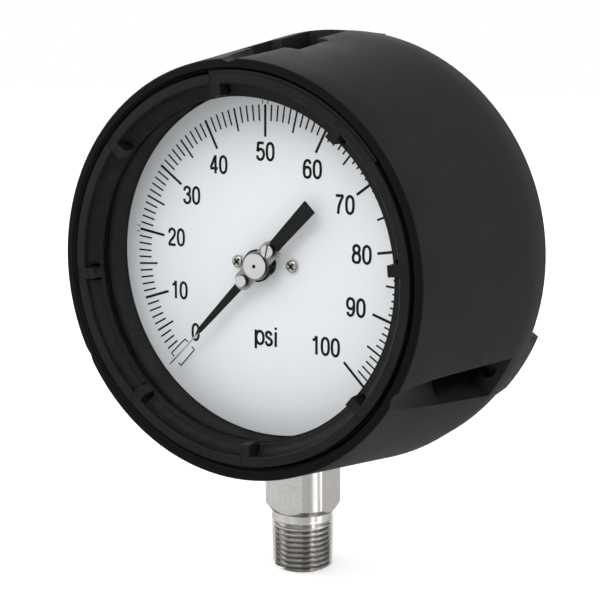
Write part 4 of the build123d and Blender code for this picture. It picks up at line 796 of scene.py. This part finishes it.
def stem_rows():
    """(surface, height at an angle) for each row, from the bore's top round to the bar's top."""
    bore = lambda turn, z: BORE_RADIUS
    neck = lambda turn, z: crest(THREAD_LENGTH) - NECK_DROP
    rows = [(bore, STEM_JOIN), (bore, 0.0), (thread_surface, 0.0)]
    lead_half = THREAD_PITCH / 2 - THREAD_FLAT / 2
    flank = lead_half - THREAD_FLAT / 2
    offsets = [THREAD_FLAT / 2 + flank * k / FLANK_ROWS for k in range(FLANK_ROWS + 1)]
    offsets += [THREAD_PITCH - offset for offset in reversed(offsets)]
    turns = int(THREAD_LENGTH / THREAD_PITCH) + 1
    for k in range(-1, turns):
        for offset in offsets:
            rows.append((thread_surface, lambda turn, low=k * THREAD_PITCH + offset: limit(
                low + THREAD_PITCH * turn, 0, THREAD_LENGTH)))
    rows.append((thread_surface, THREAD_LENGTH))
    rows += [(neck, THREAD_LENGTH + NECK_SLOPE), (neck, BAR_BOTTOM)]
    rows += [
        (bar_surface, BAR_BOTTOM + BAR_CHAMFER_HEIGHT * k / CHAMFER_ROWS)
        for k in range(CHAMFER_ROWS + 1)
    ]
    rows += [(bar_surface, STEM_JOIN), (bore, STEM_JOIN)]
    return rows


# Painted shade in the grooves of the thread
ROOT_SHADE_TONE = (0.42, 0.41, 0.39)
ROOT_START = 0.1             # below the crest, where the painted shade starts
ROOT_FULL = 0.8              # share of the thread's depth where the painted shade is full


def thread_steel():
    """Turned steel with painted shade towards the roots of the thread."""
    paint = metal("thread_steel", (0.9, 0.88, 0.85), 0.2, (1, 1, 14), 0.000002, 0.04)
    x, y, z = paint.axes()
    radius = paint.distance(x, y)
    taper = paint.math("MULTIPLY", paint.math("SUBTRACT", z, BAR_BOTTOM * MM), THREAD_TAPER)
    depth = paint.math("SUBTRACT", paint.math("ADD", taper, THREAD_CREST * MM), radius)
    root = paint.spread(depth, 0.0, 1.0, ROOT_START * MM, ROOT_FULL * THREAD_DEPTH * MM)
    paint.colour(paint.blend(root, paint.tone, ROOT_SHADE_TONE))
    return paint


def stem_mesh():
    """The threaded end and the bar, with the head of the CAD part above them."""
    mesh = bmesh.new()
    columns = stem_columns()
    grid = []
    for surface, height in stem_rows():
        row = []
        for turn in columns:
            z = height(turn) if callable(height) else height
            radius = surface(turn, z)
            angle = 2 * math.pi * turn
            point = Vector((radius * math.cos(angle), radius * math.sin(angle), z))
            row.append(mesh.verts.new(point * MM))
        grid.append((surface, row))
    edge = math.degrees(math.acos(HALF_FLATS / BAR_RADIUS))
    for k in range(len(grid) - 1):
        surface, low = grid[k]
        high = grid[k + 1][1]
        for j in range(len(columns) - 1):
            face = mesh.faces.new((low[j], low[j + 1], high[j + 1], high[j]))
            face.smooth = True
            middle = math.degrees(math.pi * (columns[j] + columns[j + 1])) % 90
            centre = face.calc_center_median()
            across = max(abs(centre.x), abs(centre.y)) / MM
            flat = surface is bar_surface and HALF_FLATS - across < FLAT_MARGIN
            if surface is thread_surface:
                face.material_index = THREADED
            elif flat and not edge < middle < 90 - edge:
                face.material_index = MILLED
            else:
                face.material_index = TURNED
    bmesh.ops.remove_doubles(mesh, verts=mesh.verts, dist=MERGE_DISTANCE)
    bmesh.ops.dissolve_degenerate(mesh, edges=mesh.edges, dist=DEGENERATE)

    head = bmesh.new()
    head.from_mesh(nodes["socket_stem"].data)
    bmesh.ops.remove_doubles(head, verts=head.verts, dist=MERGE_DISTANCE)
    bmesh.ops.bisect_plane(
        head, geom=head.verts[:] + head.edges[:] + head.faces[:], dist=MERGE_DISTANCE,
        plane_co=(0, 0, STEM_JOIN * MM), plane_no=(0, 0, 1), clear_inner=True,
    )
    rim = [edge for edge in head.edges if edge.is_boundary]
    bmesh.ops.triangle_fill(head, edges=rim, use_beauty=True)
    kept = bpy.data.meshes.new("stem_head")
    head.to_mesh(kept)
    head.free()
    mesh.from_mesh(kept)
    data = finish_mesh(mesh, "stem")
    data.set_sharp_from_angle(angle=math.radians(SHARP_ANGLE))
    return data


stem = piece("threaded_stem", stem_mesh(), milled_steel)
stem.data.materials.append(turned_steel.material)
stem.data.materials.append(thread_steel().material)
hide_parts("socket_stem")


# ---- Stage, light and camera -----------------------------------------------------------------

AMBIENT = 0.93               # light from all round on matt surfaces
STRIP = 1.3                  # brightness of a tall lamp at the right, in reflections
# What polished metal sees round the room: (degrees from the front towards the right, brightness)
STUDIO = (
    (-180, 1.0), (-140, 1.0), (-120, 0.75), (-103, 0.6), (-62, 0.68), (-51, 0.76), (-24, 0.62),
    (-8, 0.74), (15, 0.55), (46, 0.46), (56, 0.5), (63, STRIP), (72, STRIP), (75, 0.5), (79, 0.5),
    (82, STRIP), (96, STRIP), (104, 0.7), (133, 0.54), (148, 0.42), (160, 0.85), (180, 1.0),
)
DIM = 0.3                    # share of it that is left overhead and on the floor by the stem
OVERHEAD = (0.35, 0.7)       # sine of the height where the room dims
BY_STEM = (0.05, 0.03)       # metres from the stem where the floor does


def studio_glow(tree, vector, dim_by, dim_range):
    """How bright polished surfaces see the studio along a vector.

    The vector is a direction, which dims with its height, or a place, which dims with its distance.
    """
    axes = tree.nodes.new("ShaderNodeSeparateXYZ")
    tree.links.new(vector, axes.inputs[0])
    ahead = tree.nodes.new("ShaderNodeMath")
    ahead.operation = "MULTIPLY"
    ahead.inputs[1].default_value = -1
    tree.links.new(axes.outputs["Y"], ahead.inputs[0])
    turn = tree.nodes.new("ShaderNodeMath")
    turn.operation = "ARCTAN2"
    tree.links.new(axes.outputs["X"], turn.inputs[0])
    tree.links.new(ahead.outputs[0], turn.inputs[1])
    share = tree.nodes.new("ShaderNodeMapRange")
    share.inputs["From Min"].default_value = -math.pi
    share.inputs["From Max"].default_value = math.pi
    tree.links.new(turn.outputs[0], share.inputs["Value"])
    ramp = tree.nodes.new("ShaderNodeValToRGB")
    steps = ramp.color_ramp.elements
    while len(steps) < len(STUDIO):
        steps.new(0.5)
    for step, (angle, level) in zip(steps, STUDIO):
        step.position = angle / 360 + 0.5
        step.color = (level / STRIP, level / STRIP, level / STRIP, 1)
    tree.links.new(share.outputs["Result"], ramp.inputs["Fac"])
    fade = tree.nodes.new("ShaderNodeMapRange")
    fade.inputs["From Min"].default_value, fade.inputs["From Max"].default_value = dim_range
    fade.inputs["To Min"].default_value = STRIP
    fade.inputs["To Max"].default_value = STRIP * DIM
    if dim_by == "height":
        tree.links.new(axes.outputs["Z"], fade.inputs["Value"])
    else:
        length = tree.nodes.new("ShaderNodeVectorMath")
        length.operation = "LENGTH"
        tree.links.new(vector, length.inputs[0])
        tree.links.new(length.outputs["Value"], fade.inputs["Value"])
    glow = tree.nodes.new("ShaderNodeMath")
    glow.operation = "MULTIPLY"
    tree.links.new(ramp.outputs["Color"], glow.inputs[0])
    tree.links.new(fade.outputs["Result"], glow.inputs[1])
    return glow.outputs[0]


FLOOR_REACH = 6.0            # metres each way
FLOOR_TONE = (0.80, 0.80, 0.80, 1)
FLOOR_GLOW = 0.42            # what the camera sees of it besides its own colour
SQUARE = ((-1, -1), (1, -1), (1, 1), (-1, 1))


def stage_floor():
    """A pale floor that polished metal sees as part of the studio."""
    mesh = bmesh.new()
    mesh.faces.new([mesh.verts.new((x * FLOOR_REACH, y * FLOOR_REACH, 0)) for x, y in SQUARE])
    floor = bpy.data.objects.new("stage_floor", finish_mesh(mesh, "stage_floor"))
    bpy.context.scene.collection.objects.link(floor)
    paint = Paint("stage_floor")
    tree = paint.tree
    paint.set(Base_Color=FLOOR_TONE, Roughness=0.9, Specular_IOR_Level=0.0)
    shine = paint.node("ShaderNodeEmission")
    shine.inputs["Strength"].default_value = FLOOR_GLOW
    total = paint.node("ShaderNodeAddShader")
    paint.link(paint.shader.outputs[0], total.inputs[0])
    paint.link(shine.outputs[0], total.inputs[1])
    path = paint.node("ShaderNodeLightPath")
    seen = paint.math("MAXIMUM", path.outputs["Is Camera Ray"], path.outputs["Is Transmission Ray"])
    mix = paint.node("ShaderNodeMixShader")
    paint.link(seen, mix.inputs[0])
    paint.link(paint.shader.outputs[0], mix.inputs[1])
    paint.link(total.outputs[0], mix.inputs[2])
    mirrored = paint.node("ShaderNodeEmission")
    glow = studio_glow(tree, paint.position(), "distance", BY_STEM)
    paint.link(glow, mirrored.inputs["Strength"])
    whole = paint.node("ShaderNodeMixShader")
    paint.link(path.outputs["Is Glossy Ray"], whole.inputs[0])
    paint.link(mix.outputs[0], whole.inputs[1])
    paint.link(mirrored.outputs[0], whole.inputs[2])
    paint.link(whole.outputs[0], tree.nodes["Material Output"].inputs["Surface"])
    floor.data.materials.append(paint.material)


def studio_world():
    """Even light all round, white to the camera, and the studio to polished metal."""
    world = bpy.data.worlds.new("studio")
    bpy.context.scene.world = world
    world.use_nodes = True
    tree = world.node_tree
    tree.nodes.clear()
    output = tree.nodes.new("ShaderNodeOutputWorld")

    def background(strength):
        made = tree.nodes.new("ShaderNodeBackground")
        made.inputs["Color"].default_value = (1, 1, 1, 1)
        made.inputs["Strength"].default_value = strength
        return made

    def mixed(factor, first, second):
        made = tree.nodes.new("ShaderNodeMixShader")
        tree.links.new(factor, made.inputs[0])
        tree.links.new(first, made.inputs[1])
        tree.links.new(second, made.inputs[2])
        return made.outputs[0]

    light = background(AMBIENT)
    backdrop = background(1.0)
    room = background(1.0)
    direction = tree.nodes.new("ShaderNodeTexCoord")
    glow = studio_glow(tree, direction.outputs["Generated"], "height", OVERHEAD)
    tree.links.new(glow, room.inputs["Strength"])
    path = tree.nodes.new("ShaderNodeLightPath")
    seen = tree.nodes.new("ShaderNodeMath")
    seen.operation = "MAXIMUM"
    tree.links.new(path.outputs["Is Camera Ray"], seen.inputs[0])
    tree.links.new(path.outputs["Is Transmission Ray"], seen.inputs[1])
    lit = mixed(path.outputs["Is Glossy Ray"], light.outputs[0], room.outputs[0])
    tree.links.new(mixed(seen.outputs[0], lit, backdrop.outputs[0]), output.inputs["Surface"])


def lamp(name, position, size, power):
    """A rectangular lamp, in metres and watts, that points at the pointer's axis."""
    data = bpy.data.lights.new(name, "AREA")
    data.shape = "RECTANGLE"
    data.size, data.size_y = size
    data.energy = power
    made = bpy.data.objects.new(name, data)
    made.location = position
    aim = Vector((0, 0, AXIS.z)) - Vector(position)
    made.rotation_euler = aim.to_track_quat("-Z", "Y").to_euler()
    bpy.context.scene.collection.objects.link(made)


CAMERA_AZIMUTH = 31.783      # degrees from the front towards the right
CAMERA_ELEVATION = 7.151
CAMERA_ROLL = -0.071
CAMERA_TARGET = (3.515, -23.4, 119.886)      # millimetres
CAMERA_DISTANCE = 405.493
CAMERA_LENS = 77.565
CAMERA_SHIFT = (0.0417, -0.13)


def photo_camera():
    """The camera, from its place, its aim and its roll."""
    azimuth, elevation, roll = (
        math.radians(angle) for angle in (CAMERA_AZIMUTH, CAMERA_ELEVATION, CAMERA_ROLL))
    target = Vector(CAMERA_TARGET) * MM
    distance = CAMERA_DISTANCE * MM
    level = math.cos(elevation)
    back = Vector((level * math.sin(azimuth), -level * math.cos(azimuth), math.sin(elevation)))
    forward = -back
    right = forward.cross(Vector((0, 0, 1))).normalized()
    up = right.cross(forward)
    side = right * math.cos(roll) + up * math.sin(roll)
    top = up * math.cos(roll) - right * math.sin(roll)
    data = bpy.data.cameras.new("camera")
    data.sensor_width = 36
    data.lens = CAMERA_LENS
    data.shift_x, data.shift_y = CAMERA_SHIFT
    data.clip_start = 0.01
    made = bpy.data.objects.new("camera", data)
    turn = Matrix((side, top, back)).transposed().to_4x4()
    made.matrix_world = Matrix.Translation(target + back * distance) @ turn
    bpy.context.scene.collection.objects.link(made)
    bpy.context.scene.camera = made


stage_floor()
studio_world()
lamp("softbox_left", (-1.0, -0.38, 0.45), (0.7, 1.1), 5.2)
lamp("softbox_right", (1.0, -0.34, 0.35), (0.16, 1.1), 2.3)
lamp("softbox_back", (-0.6, 0.75, 0.95), (0.7, 0.7), 2.8)
lamp("softbox_top", (0.0, -0.9, 0.9), (0.9, 0.6), 5.2)
photo_camera()
bpy.context.scene.view_settings.view_transform = "Standard"
